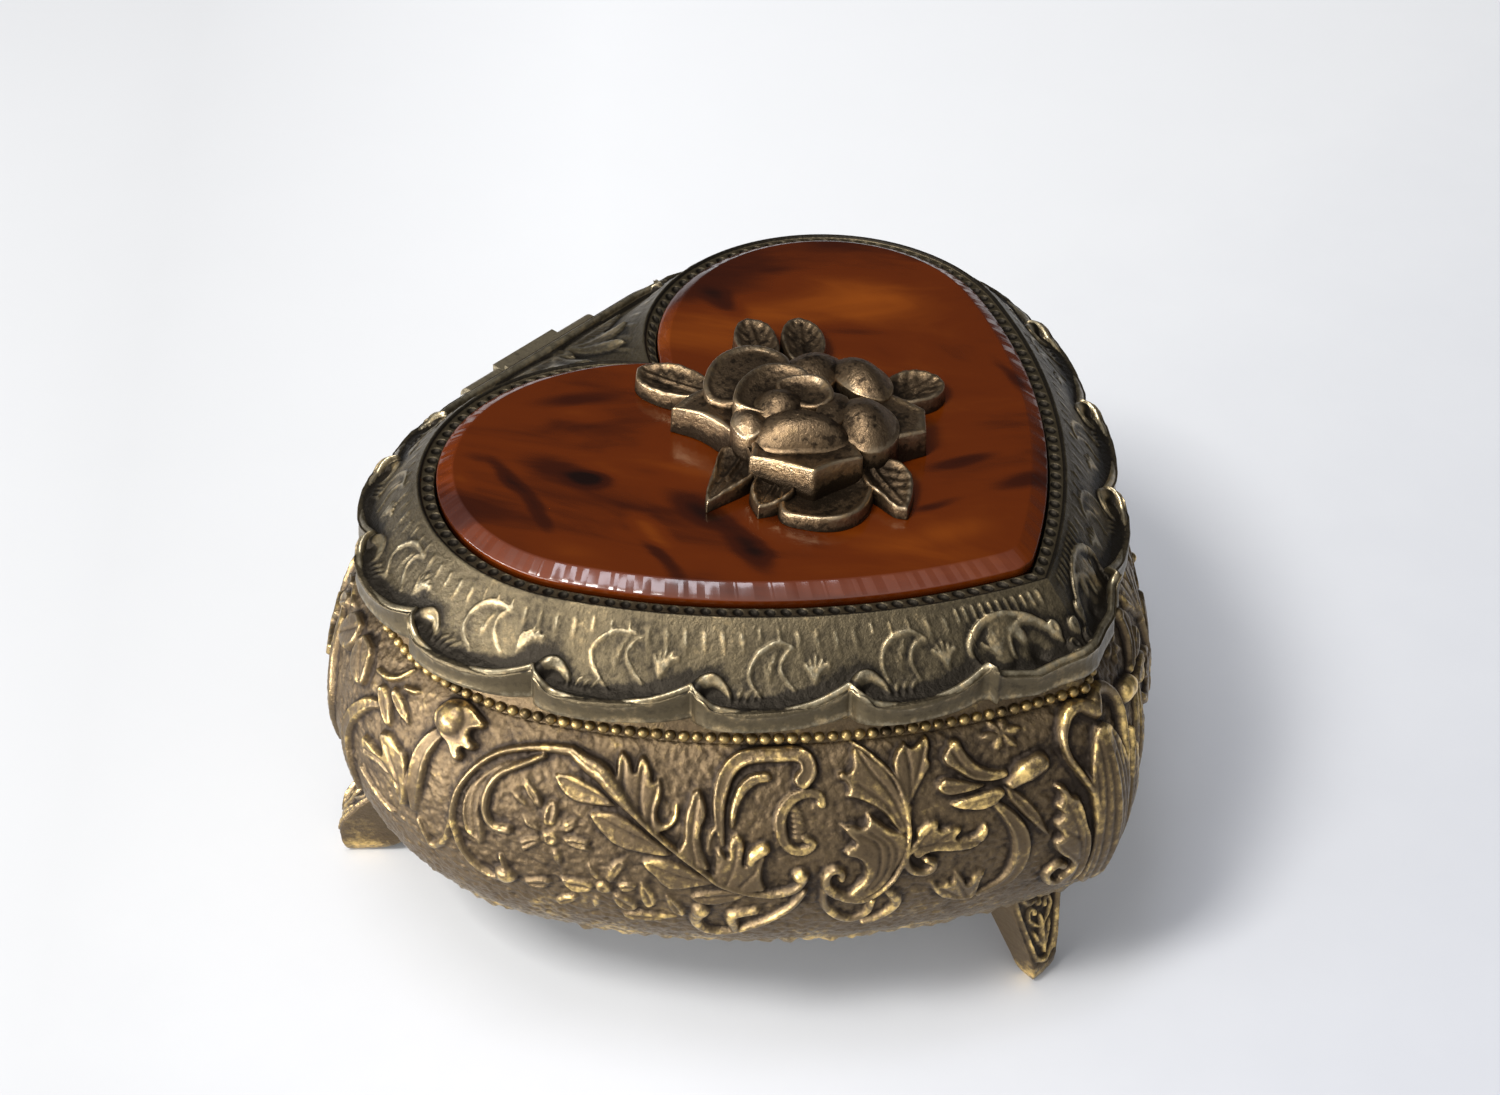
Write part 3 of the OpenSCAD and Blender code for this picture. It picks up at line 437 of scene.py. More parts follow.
    # first daisy
    petals = paths(
        "58.9 21.2, 59 22.9, 58.2 24.6, 57.3 24.3, 57.2 23, 57.6 21.3; "
        "56.9 20.9, 56.7 22.1, 56 22.6, 55.2 22.8, 55.4 21.6, 56.3 20.7; "
        "56.9 20.1, 55.7 20.7, 54.7 20.5, 53.7 20.4, 54.2 19.8, 53.6 19, 55.2 19, 56.5 19.4; "
        "57.9 18.5, 57.2 18.8, 56.7 17.5, 57 16.2, 57.8 17.1; "
        "58.8 19.9, 60.4 19.6, 61.4 18.6, 61.1 18, 60.9 17.2, 59.9 18.1, 58.8 19.1; "
        "61.1 22.1, 60.3 21.9, 59.1 21.2, 58.9 20.4, 60.1 20.5, 60.8 21.1; "
        "61.5 26.7, 60.4 26, 59.4 25.1, 58.9 24, 59.1 23, 60 23.5, 61.1 25; "
        "62.6 24.5, 61.5 24.3, 60.4 23.6, 60.5 22.8, 61.7 23.3")
    middles = paths(
        "58.2 21.2, 58 23.8; 56.7 21, 55.6 22.3; 56.6 19.8, 54.4 19.8; 57.5 18.6, 57.2 16.9; "
        "59 19.5, 60.9 18.3; 59.4 20.8, 60.6 21.7; 59.4 23.6, 61.1 26; 60.8 23.3, 62.2 24.1")
    for petal, middle in zip(petals, middles):
        add(blade, petal, 0.42, [middle])
    add(ball, (58, 19.8), 0.92, 0.55, pit=0.34, gilt=0.4)
    # second daisy and the small leaves round it
    petals = paths(
        "54.3 17.6, 53.6 17.1, 53 16.1, 53.2 14.9, 54.1 15.8; "
        "52.6 15.2, 52.1 17.4, 51.4 18.5, 50.3 18.6, 50.4 17.5, 51.5 15.6, 51.9 14.8; "
        "51.6 14.7, 50.3 15.6, 49.1 15.3, 49.6 14.2, 50.9 13.8; "
        "52 13.4, 50.9 13.6, 49.5 12.7, 49.1 11, 50.6 10.6, 51.6 11.5; "
        "54.1 11.1, 53.6 12.7, 52.9 12.7, 53.1 10.8, 53.7 10.2; "
        "57.2 14.8, 55.7 15, 54.3 14.9, 53.5 14.3, 53.8 13.2, 55.7 12.6, 56.9 13.7; "
        "58 10.6, 56.7 12.1, 55 12.1, 56 10.5, 57.4 9.6; "
        "61.2 13, 59.2 14.3, 57.6 14, 58.7 12.2, 60.5 12.1; "
        "49.1 16, 48.1 15.2, 47.3 13.4, 47.5 11.8, 48.6 11.6, 49.2 13.5; "
        "46.8 14.4, 45.4 13.6, 44.4 11.2, 44.7 10.1, 46.1 11.3; "
        "51.3 9.6, 49.6 10.7, 47.4 10.6, 44.6 10.4, 47.2 9.2, 49.9 8.6")
    middles = paths(
        "53.5 15.2, 53.8 17; 52.3 15, 50.9 18; 51.4 14.4, 49.7 14.9; 51.7 13, 50 11.4; 53.4 12.4, 53.5 10.9; "
        "53.9 13.9, 56.6 14; 55.6 11.6, 57.4 10.3; 58 13.4, 60.5 12.7; 47.9 12.2, 48.8 15.2; "
        "45 10.8, 46.2 13.6; 46 10, 50.4 9.6")
    for petal, middle in zip(petals, middles):
        add(blade, petal, 0.38, [middle])
    add(ball, (52.7, 14.1), 0.85, 0.5, pit=0.3, gilt=0.4)
    # rolls under the spray
    add(stroke, "43 12.2, 43.4 9.6, 42 7.8, 40 7.8, 38 9, 36.4 10.3, 34 13, 32.9 15.2",
        [0.9, 0.6, 0.5, 0.5, 0.45, 0.35], 0.75, gilt=0.4)
    add(ball, (43, 11.8), 1.0, 0.9)
    add(stroke, "39.5 8.6, 39.8 11.2, 37.6 12.2", [0.6, 0.7, 0.5], 0.75)
    add(stroke, "31 15.2, 30.7 12.7, 29.4 10.7, 27.8 9.7, 26.4 10.8, 26 12.8", [0.3, 0.45, 0.5, 0.55, 0.5, 0.4],
        0.65)
    add(stroke, "24.6 14.4, 23.5 12.1, 24.6 10, 26.5 8.8", [0.5, 0.65, 0.55, 0.3], 0.7)
    # pair of C-scrolls and the toothed one
    add(stroke, "40.9 21.4, 41.2 24, 41.1 26.5, 40.3 29.1, 38.9 30.5, 37 31, 34.7 31.1, 33 31.1, 32 30.5, "
        "31.9 29.3, 32.6 28.4", [0.2, 0.5, 0.65, 0.8, 0.85, 0.85, 0.85, 0.9, 0.95, 0.95],
        [0.7, 0.9, 1.0, 1.05, 1.1, 1.15], form="lipped", gilt=0.6)
    add(blade, "40.2 22.9, 40.4 24.7, 40 26.5, 39.2 28.3, 37.9 29.3, 35.9 29.5, 35.5 28.8, 35.9 28.2, 37.2 28, "
        "38.4 27, 39.2 25.5, 39.6 23.4", 0.7, gilt=0.5)
    add(stroke, "30.9 25.7, 31.1 26.7, 32.4 27, 33.9 26.4, 34.9 25.1, 35.2 23.6, 34.9 21.7, 33.9 20.6, "
        "32.7 20.6, 32.1 21.3, 32.8 22", [0.45, 0.5, 0.6, 0.62, 0.6, 0.55, 0.5, 0.4], 0.72, form="lipped",
        gilt=0.5)
    add(stroke, "33.7 25.3, 33.3 23.6, 33.5 21.8", [0.5, 0.62, 0.45], 0.22)
    for k in range(6):
        add(stroke, [(33, 25 - k * 0.58), (33.9, 25.1 - k * 0.6)], [0.13], 0.42, gilt=0.4)
    # acanthus S-scroll
    add(blade, "26.7 32.1, 25.9 31.1, 24.9 30.1, 23.9 28.9, 23.2 27.4, 22.7 25.8, 22.5 23.7, 22.6 21.6, "
        "23.4 21.6, 24.2 22.9, 24.6 23.8, 25.5 24.8, 26.6 25.6, 27.6 26.1, 28.6 26.2, 28 27.3, 28.9 28.7, "
        "27.8 29, 27.3 29.6, 27.3 30.7", 0.62,
        "22.9 22.8, 23.8 26, 25.6 29, 26.6 31.4; 23.3 22.6, 24.6 25.4, 27 27.6", gilt=0.4)
    add(ball, (28.5, 28.6), 0.5, 0.75, gilt=0.8)
    add(blade, "29.7 24.5, 29.1 23.3, 28 23.4, 27.2 23, 26.7 23.3, 26.6 24.7, 25.8 24, 25.1 23.3, 24.3 22.5, "
        "22.7 21.9, 22.7 20.3, 23.4 18.3, 24.4 16.2, 25.5 14.7, 26.9 13.6, 28 13.6, 28.9 14.4, 28 15.6, "
        "27.2 16.6, 27 17.9, 27.6 19.3, 29.3 19.8, 28.7 20.9, 27.9 21.2, 28.6 22, 29.1 22.9", 0.8,
        "27.4 22.2, 25.8 21, 25.5 19.2, 25.9 16.9, 26.8 15.2; 26.4 22.4, 24.9 20.9, 24.6 19.2, 25.1 17, "
        "26.2 15.2; 25.2 22.1, 24.1 20.8, 23.9 19.2, 24.4 17.1", lip=0.2, gilt=0.4)
    add(stroke, "26.9 32.2, 24.9 30.2, 23.1 27.5, 22.5 23.7, 22.7 20.3, 24.2 16.1, 26.8 13.6, 29 14",
        [0.12, 0.22, 0.28, 0.3, 0.32, 0.34, 0.45], [0.8, 0.95, 1.0, 1.0], gilt=0.5)
    add(stroke, "27.6 13.9, 29.5 14.4, 30.7 15.8, 30.7 17.3, 30 18, 29.3 17.6, 29.3 16.8",
        [0.8, 0.7, 0.6, 0.5, 0.45], 0.85, gilt=0.5)
    # bud on a thin stem
    add(blade, "23.4 29, 22.8 30.5, 21.2 31.8, 21 30.8, 20.1 31.1, 18.6 32.2, 18.6 30.7, 19.3 29.5, 19.1 28.6, "
        "20.2 27.5, 21.4 25.8, 22.3 24.2, 22.8 25.5, 23.2 27.1", 0.7,
        "22.1 25, 21.6 28, 21.4 30.6; 21.8 26, 20.4 28.8, 19.2 31", gilt=0.5)
    add(stroke, "22.2 24.6, 22.5 22.6, 22.8 20.9", [0.3, 0.3, 0.2], 0.6)
    # curled leaf below it
    add(blade, "22 21.6, 20.6 22.7, 19.2 22.6, 19.5 21.5, 18.1 21.8, 16.8 21.2, 17.9 20, 15.8 20, 14.7 21.4, "
        "14.2 20.9, 14.4 19.5, 15.8 18.4, 17.9 18.4, 20 18.9, 21 18.7, 21.6 18.2, 22.4 18.6, 22.4 20.2, "
        "21.8 20.8", 0.65, "22 19.8, 19 19.9, 15.4 19.2; 21.6 20.2, 20.2 21.8; 19.8 20.2, 17.8 21.2", gilt=0.5)
    add(stroke, "22 20, 22.8 19.2, 22.9 18, 22.3 16.9, 21.2 16.4, 20.3 16.7, 20.1 17.5, 20.8 18",
        [0.5, 0.5, 0.5, 0.5, 0.5, 0.45], 0.85, gilt=0.5)
    add(blade, "20.6 15.2, 19 13.8, 18.4 14.6, 18 14, 17.9 16.2, 16.9 14.8, 16.2 13, 16 14.6, 14.4 15, "
        "14.8 13.2, 14.9 10.4, 17.2 10.6, 19.5 12.1", 0.55,
        "16 11.2, 17.8 15.2; 15.4 11.2, 15.2 14.2; 17 11.4, 19.8 14.2")
    # flower, gilt bud and leaves near the point
    eye = (10.8, 30.5)
    for tip in points("11.6 32.2, 9.7 32.2, 8.6 30.6, 9.8 28.8, 12 28.8, 13 30.4"):
        ray = [tuple(a + (b - a) * share for a, b in zip(eye, tip)) for share in (0.25, 0.6)]
        add(leaf, [*ray, tip], 0.6, 0.4, veins=0.3)
    add(ball, eye, 0.55, 0.4, pit=0.22)
    add(blade, "16.6 30.7, 15.5 31.1, 15.2 29.3, 14.4 28, 13 27.1, 11.2 26.7, 11.6 25.7, 13.8 25.7, 15.6 26.3, "
        "16.9 27.6, 17.9 28.4, 18 29.3, 17.4 30.1", 0.75, "12.2 26.2, 15.4 27.4, 16.7 29.6", gilt=0.5)
    add(ball, (16.2, 30.2), 0.75, 1.05, gilt=0.9)
    add(blade, "19.4 26.2, 18.4 27.3, 17.1 27, 14.6 26, 13.4 25.5, 14.7 25.2, 16.8 25, 18.5 25.1", 0.75,
        "14 25.6, 18.6 26.2", gilt=0.5)
    add(blade, "18.3 24.1, 16.9 24.8, 14.8 25, 12.6 25.2, 11.9 24.3, 13.2 23.2, 15 22.8, 17.3 23.4", 0.9,
        "12.8 24.4, 17.4 24; 13 23.9, 16.4 23.5", gilt=0.7)
    add(stroke, "11.2 25.2, 9.8 26, 8 26.6", [0.8, 1.3, 1.25], [1.0, 1.5, 1.4], gilt=1.0)
    add(blade, "12.3 25.1, 10.6 24, 9.2 21.9, 8.2 19.4, 7.2 16.6, 8.9 18.5, 10.8 21.2, 12.1 23.5", 0.5,
        "11.4 24, 9.2 20.6, 7.7 17.6")
    add(stroke, "13.3 23.2, 12 21.3, 11.1 19.2, 10.8 16.8, 11.2 14.2, 12.4 12.2, 14.6 10.8",
        [0.4, 0.75, 0.95, 1.0, 0.95, 0.8, 0.4], [0.7, 0.95, 0.95, 0.9, 0.6], form="lipped", gilt=0.45)
    # acanthus that clasps the point
    add(blade, "7.1 23.9, 5.7 23.5, 5.2 22.1, 4.5 21.9, 4 20.5, 3.6 18.1, 3 16.2, 2.8 12.8, 3 9.6, 4.9 8.4, "
        "6.3 10.4, 5 11.4, 5 12.9, 7.2 15.2, 7.5 16.8, 6.5 17.3, 7.7 19.1, 6.5 20, 7.3 21.3, 6.4 22.1", 1.0,
        "4.1 9.6, 4 13, 4.9 18, 6.4 22.8; 4.3 13, 6.9 16.4; 4.6 16.4, 7.1 19; 3.5 12, 3.9 17, 5 21", lip=0.2)
    add(blade, "2.6 6.6, 3 12, 2.9 16.8, 3.1 19.3, 3.4 21.9, 2.6 25, 1 28.6, -0.6 28.6, -0.8 24, -0.9 16, "
        "-0.9 8", 0.9, "1.2 7.5, 1.6 16, 1 27; 2.1 9, 2.4 17, 2 24.6; 0.4 9, 0.6 17, 0.4 25")
    add(stroke, "2.2 17, 2.4 19.3, 2.9 21.8, 4 24.4, 4.8 26.6, 4.6 28.6, 3.4 30.4, 1.6 31.2, 0 30.2",
        [0.3, 0.4, 0.45, 0.5, 0.5, 0.5, 0.7, 0.95, 1.1], [0.8, 1.05, 1.25, 1.3], gilt=0.6)
    add(stroke, "3.8 9.2, 6.4 9.8, 7.4 11.6, 6.6 13, 5.7 12.4", [0.6, 0.6, 0.5, 0.45, 0.6], 0.95)
    # lobe: gilt bud on its stem, flower, leaves and bands
    add(stroke, "71 28.2, 72.2 26.4, 72.9 24.3, 73.1 22.3, 73.2 20.1, 73.3 17.4",
        [0.6, 0.9, 1.0, 1.0, 0.9, 0.5], [0.8, 1.05, 1.05, 0.9, 0.5], form="lipped")
    add(blade, "72.5 28.5, 72.8 29.6, 72.2 30.8, 71.2 31.7, 69.9 32.1, 68.4 31.7, 67.1 31.1, 66.1 30.6, "
        "66.4 29.8, 67.6 29.4, 67.6 28.8, 66.4 28, 67.2 27.1, 68.3 27.3, 67.8 26.5, 68.4 25.4, 69.3 26, "
        "70.1 27.1, 70.9 27.3", 1.0, gilt=1.0)
    add(ball, (70.3, 29.7), 2.1, 1.75, gilt=1.0)
    add(blade, "81.9 21.4, 80.5 21.6, 79.1 21.3, 77.8 21.4, 78.5 22.5, 79.3 23.5, 77.7 24.4, 76.3 23.8, "
        "74.8 23.6, 74.1 22.3, 73.8 19.8, 74 17.4, 75 16.2, 75.3 18.1, 76.2 19.4, 77.9 19.7, 79.4 19.5, "
        "81 18.8", 0.75, "74.8 17.4, 75.2 20, 77.4 22.8; 75.4 19.4, 78 20.6, 80.8 20")
    add(stroke, "82.8 28.6, 81 28.9, 79.2 30, 78.1 31.6", [0.34, 0.4, 0.36, 0.25], 0.6, gilt=0.5)
    add(blade, "82 27.5, 80.6 28.3, 78.9 27.5, 78 26.3, 77.7 24.8, 78.4 24.4, 79.9 25.3", 0.6, "80.8 27.4, 78.3 25")
    add(blade, "79.7 29, 77.3 28.6, 75.4 27, 75.3 26.1, 77.4 26.7, 79.3 27.7", 0.6, "78.6 28.2, 75.9 26.7")
    add(blade, "78.8 29.6, 76.6 30.3, 75.3 30.4, 76 29.5, 77.7 29", 0.5)
    add(stroke, "80.6 25.8, 82.3 24.7, 84 22.5, 85.1 20, 85.5 17.4, 84.9 14.3, 84.7 11.1",
        [0.5, 0.8, 0.9, 0.9, 0.85, 0.75, 0.5], [0.7, 1.0, 1.0, 0.95, 0.7], form="lipped")
    add(blade, "88.6 28.7, 87.9 30, 85.6 30, 84.2 28.9, 83.6 26.1, 84.7 25, 87.2 25.4, 88.4 27", 0.8,
        "84.6 26, 87.4 29", gilt=0.5)
    add(stroke, "82 16.4, 79.4 15, 76.6 14.4", [0.3, 0.5, 0.3], 0.45)

    for kind, args, named in motifs:
        kind(r, *args, **named)

    # the same motifs, turned about the side of the lobe, carry on round the back
    def flip(value):
        if isinstance(value[0], (int, float)):
            return (2 * base["turnAt"] - value[0], value[1])
        return [flip(part) for part in value]

    for kind, (first, *rest), named in motifs:
        if np.min(np.atleast_2d(first)[:, 0]) < base["turnFrom"]:
            continue
        if kind is blade and len(rest) > 1:
            rest[1] = flip(rest[1])
        kind(r, flip(first), *rest, **named)
    return r


def wallPieces():
    r = baseRelief()
    step = base["step"]
    u, v = r["u"], r["v"]
    form = blur(r["h"], base["soften"] / step)
    ground = np.clip(1 - form / 0.25, 0, 1)
    grain = roughen(form.shape, step, 0.2, 0.05, 3) + roughen(form.shape, step, 0.9, 0.019, 4)
    h = form + grain * (0.22 + 0.78 * ground) - base["groundDrop"]
    # rough border along the bottom edge
    edge = np.exp(-((v[None, :] - 1.6) / 0.8) ** 2)
    border = 0.4 + 0.1 * np.sin(u[:, None] * 2 * math.pi / 2.3) + roughen(form.shape, step, 0.6, 0.1, 5)
    h = h + edge * border
    # the relief dies away under the bead row
    fade = np.clip((wallTop - v[None, :]) / 1.2, 0, 1)
    h = h * fade + (-0.15) * (1 - fade)
    # hollows come out darker (patina and painted shade) and crests lighter (wear and painted highlight)
    patina_shade_and_shine = sum(share * blur(form, size / step) for size, share in ((0.1, 0.85), (0.3, -0.6), (0.8, -0.25)))
    # the grain adds tone to the ground, and the band along the wall's bottom is made lighter: painted light
    patina_shade_and_shine = np.clip(patina_shade_and_shine, -0.3, 0.2) + grain * ground * 0.35 + 0.2 * np.exp(-(v[None, :] / 5) ** 2)
    uGrid, vGrid = np.meshgrid(u, v, indexing="ij")
    p = basePoint(uGrid, vGrid)
    e = 0.05
    inside = np.minimum(uGrid, halfLength - e)
    du = basePoint(inside + e, vGrid) - basePoint(inside - e, vGrid)
    dv = basePoint(uGrid, np.minimum(vGrid + e, wallTop)) - basePoint(uGrid, np.maximum(vGrid - e, 0))
    normal = np.cross(du, dv)
    normal /= np.linalg.norm(normal, axis=-1, keepdims=True)
    # at the point and the cleft the two sides' normals are drawn together, so the seams stay closed
    near = np.clip(1 - np.minimum(np.abs(uGrid), np.abs(uGrid - halfLength)) / 1.2, 0, 1)[..., None]
    normal[..., 0:1] *= 1 - near
    normal /= np.linalg.norm(normal, axis=-1, keepdims=True)
    p = p + normal * h[..., None]
    # the rest of the section: seat of the bead row, neck, rim, inside, lip
    throat = neckOut - base["wall"]
    lipTop = base["bottom"] + base["lip"]
    lipIn = base["footRing"] - base["lipReach"]
    section = [(neckOut + 0.25, mouldingZ + 0.25), (neckOut + 0.2, mouldingTop - 0.1), (neckOut, mouldingTop + 0.15),
               (neckOut, seamZ - 0.2), (neckOut - 0.15, seamZ), (throat + 0.15, seamZ), (throat, seamZ - 0.15),
               (throat, mouldingZ)]
    section += [(float(baseOut(share)) - base["wall"], base["bottom"] + wallHeight * share)
                for share in (0.96, 0.86, 0.7, 0.5, 0.3, 0.15)]
    section += [(float(baseOut(base["lip"] / wallHeight)) - base["wall"], lipTop), (lipIn + 0.15, lipTop),
                (lipIn, lipTop - 0.15), (lipIn, base["bottom"] + 0.1), (lipIn + 0.1, base["bottom"]),
                (base["footRing"] - 0.4, base["bottom"])]
    pieces = []
    parts = list(zip(base["seams"], [*base["seams"][1:], halfLength]))
    for name, sign in (("right", 1), ("left", -1)):
        for k, (start, end) in enumerate(parts):
            a = np.searchsorted(u, start - 1e-6)
            b = np.searchsorted(u, end - 1e-6) + 1
            columns = u[a:b].copy()
            columns[0], columns[-1] = start, end
            skin = p[a:b].copy()
            if k == 0:
                skin[0, :, 0] = 0
            if k == len(parts) - 1:
                skin[-1, :, 0] = 0
            rest = []
            for out, z in section:
                x, y = outline(columns, out)
                rest.append(np.stack([x, y, np.full_like(x, z)], -1))
            rest = np.stack(rest, 1)
            whole = np.concatenate([skin, rest], 1)
            whole[..., 0] *= sign
            tail = np.zeros((len(columns), len(section)))
            heights = np.concatenate([np.clip(form[a:b] / 1.2, 0, 1), tail + 0.25], 1)
            patinaShadeAndShineRows = np.concatenate([patina_shade_and_shine[a:b], tail], 1)
            gilts = np.concatenate([blur(r["gilt"], 2)[a:b], tail + 0.1], 1)
            pieces.append(gridMesh(f"wall_{name}_{k + 1}", whole, closedColumns=True,
                                   attributes={"relief": heights, "patina_shade_and_shine": patinaShadeAndShineRows, "gilt": gilts}))
    return pieces


# Row of beads
beadRows = {
    "pitch": 1.36, "size": 1.24,
    "squash": 0.92,                  # height of a bead for its width
    "smallest": 0.93, "largest": 1.05, "seed": 11,
}


# Node tree: a closed path is resampled at the bead pitch and gets a bead at each point
def beadTree(name, size, pitch, squash, material):
    tree = bpy.data.node_groups.new(name, "GeometryNodeTree")
    tree.interface.new_socket("Path", in_out="INPUT", socket_type="NodeSocketGeometry")
    for label, value in (("Bead size", size), ("Pitch", pitch), ("Height share", squash)):
        socket = tree.interface.new_socket(label, in_out="INPUT", socket_type="NodeSocketFloat")
        socket.default_value = value
    tree.interface.new_socket("Beads", in_out="OUTPUT", socket_type="NodeSocketGeometry")
    nodes, links = tree.nodes, tree.links
    inp, out = nodes.new("NodeGroupInput"), nodes.new("NodeGroupOutput")
    toCurve = nodes.new("GeometryNodeMeshToCurve")
    resample = nodes.new("GeometryNodeResampleCurve")
    resample.mode = "LENGTH"
    bead = nodes.new("GeometryNodeMeshUVSphere")
    place = nodes.new("GeometryNodeInstanceOnPoints")
    scale = nodes.new("ShaderNodeCombineXYZ")
    vary = nodes.new("FunctionNodeRandomValue")
    vary.data_type = "FLOAT"
    sized, tall = nodes.new("ShaderNodeMath"), nodes.new("ShaderNodeMath")
    sized.operation = tall.operation = "MULTIPLY"
    shade = nodes.new("GeometryNodeSetShadeSmooth")
    real = nodes.new("GeometryNodeRealizeInstances")
    coat = nodes.new("GeometryNodeSetMaterial")
    for node, socket, value in (
        (bead, "Segments", 12), (bead, "Rings", 7), (bead, "Radius", 0.5), (vary, "Min", beadRows["smallest"]),
        (vary, "Max", beadRows["largest"]), (vary, "Seed", beadRows["seed"]), (coat, "Material", material),
    ):
        node.inputs[socket].default_value = value
    for source, output, target, socket in (
        (inp, "Path", toCurve, "Mesh"), (toCurve, "Curve", resample, "Curve"), (inp, "Pitch", resample, "Length"),
        (inp, "Bead size", sized, 0), (vary, "Value", sized, 1), (sized, 0, scale, "X"), (sized, 0, scale, "Y"),
        (sized, 0, tall, 0), (inp, "Height share", tall, 1), (tall, 0, scale, "Z"),
        (resample, "Curve", place, "Points"), (bead, "Mesh", place, "Instance"), (scale, 0, place, "Scale"),
        (place, "Instances", shade, "Geometry"), (shade, "Geometry", real, "Geometry"),
        (real, "Geometry", coat, "Geometry"), (coat, "Geometry", out, "Beads"),
    ):
        links.new(source.outputs[output], target.inputs[socket])
    return tree


def beadRow(name, out, z, bridged, material):
    size, pitch = beadRows["size"] * mm, beadRows["pitch"] * mm
    path = heartRing(outlineSteps(120, 120, 40), out, bridged)
    mesh = bpy.data.meshes.new(name)
    around = len(path)
    mesh.from_pydata([(x * mm, y * mm, z * mm) for x, y in path], [(k, (k + 1) % around) for k in range(around)], [])
    holder = addObject(name, mesh)
    tree = beadTree(name + "_tree", size, pitch, beadRows["squash"], material)
    modifier = holder.modifiers.new("beads", "NODES")
    modifier.node_group = tree
    for item in tree.interface.items_tree:
        if item.in_out == "INPUT" and item.name == "Pitch":
            modifier[item.identifier] = pitch
    evaluated = holder.evaluated_get(bpy.context.evaluated_depsgraph_get())
    beads = bpy.data.meshes.new_from_object(evaluated)
    bpy.data.objects.remove(holder)
    return addObject(name, beads)


# Lid casting
lid = {
    "bottom": 46.05, "height": 8.85, "rimOut": 7.3,
    "channelWidth": 1.6, "channelDepth": 0.6, "ridgeWidth": 0.35, "seatDepth": 0.8, "ledgeWidth": 1.5, "ledge": 1.2,
    "scallopEnds": [0, 12.0, 27.2, 44.0, 61.2, 78.4, 94.1, 109.0, 119.6],
    "step": 0.17, "pitPitch": 1.6, "pitRadius": 0.56, "pitDepth": 0.32,
    "reliefStep": 0.1, "flangeRows": 74,
    "bandWidth": 1.1, "bandHeight": 0.9,     # rolled band at the rim's edge
}
lidZ = lid["bottom"]
ridgeZ = lidZ + lid["height"]
channelZ = ridgeZ - lid["channelDepth"]
seatZ = channelZ - lid["seatDepth"]
seatOut = -lid["ridgeWidth"] - lid["channelWidth"]
flangeOut = [0, 0.8, 2.0, 3.2, 4.2, 5.2, 6.3, 7.6]
flangeZ = [0, -0.85, -2.25, -3.75, -5.0, -5.85, -6.3, -6.4]


def bridgeOf(out):
    return np.interp(out, [0, 1.1, 2.9, 4.9, 5.6, 6.8], [0, 0.08, 0.4, 0.8, 0.9, 1])


# Share of the way along the scallop that u lies in, from its point side to its lobe side
def scallopShare(u):
    ends = np.array(lid["scallopEnds"])
    k = np.clip(np.searchsorted(ends, u, side="right") - 1, 0, len(ends) - 2)
    t = (u - ends[k]) / (ends[k + 1] - ends[k])
    return np.clip(t, 0, 1), k


# Stand-out of the rim and height of its upper edge
def rimEdge(u):
    t, k = scallopShare(u)
    draw = np.interp(t, [0, 0.06, 0.16, 0.3, 0.48, 0.66, 0.82, 0.92, 0.97, 1],
                     [1.9, 1.55, 1.05, 0.6, 0.22, 0.0, 0.1, 0.5, 1.0, 1.9])
    top = np.interp(t, [0, 0.1, 0.25, 0.45, 0.7, 0.86, 0.94, 1], [4.2, 3.7, 3.0, 2.5, 2.5, 3.0, 3.9, 4.4])
    first = k == 0
    draw = np.where(first, np.interp(t, [0, 0.1, 0.35, 0.6, 0.85, 1], [1.3, 1.0, 0.9, 0.5, 0.9, 1.1]), draw)
    top = np.where(first, np.interp(t, [0, 0.3, 0.6, 0.9, 1], [3.6, 3.3, 3.0, 3.6, 4.2]), top)
    back = u >= flankLength
    draw = np.where(back, 0.4 * np.exp(-((u - flankLength) / 1.5) ** 2), draw)
    top = np.where(back, 3.2, top)
    post = np.exp(-((u - 11.9) / 0.55) ** 2)
    return lid["rimOut"] - draw + 0.45 * post, top + 0.5 * post


# Length of the outline at a stand-out, from the heart's point to u
def wayAlong(u, out):
    side, lobe = curveLengths(out)
    notch = (lobeR + out) * (math.acos(-lobeX / (lobeR + max(out, lobeX - lobeR))) - math.pi / 2)
    return np.interp(u, [0, sideLength, flankLength, halfLength], [0, side, side + lobe, side + lobe + notch])


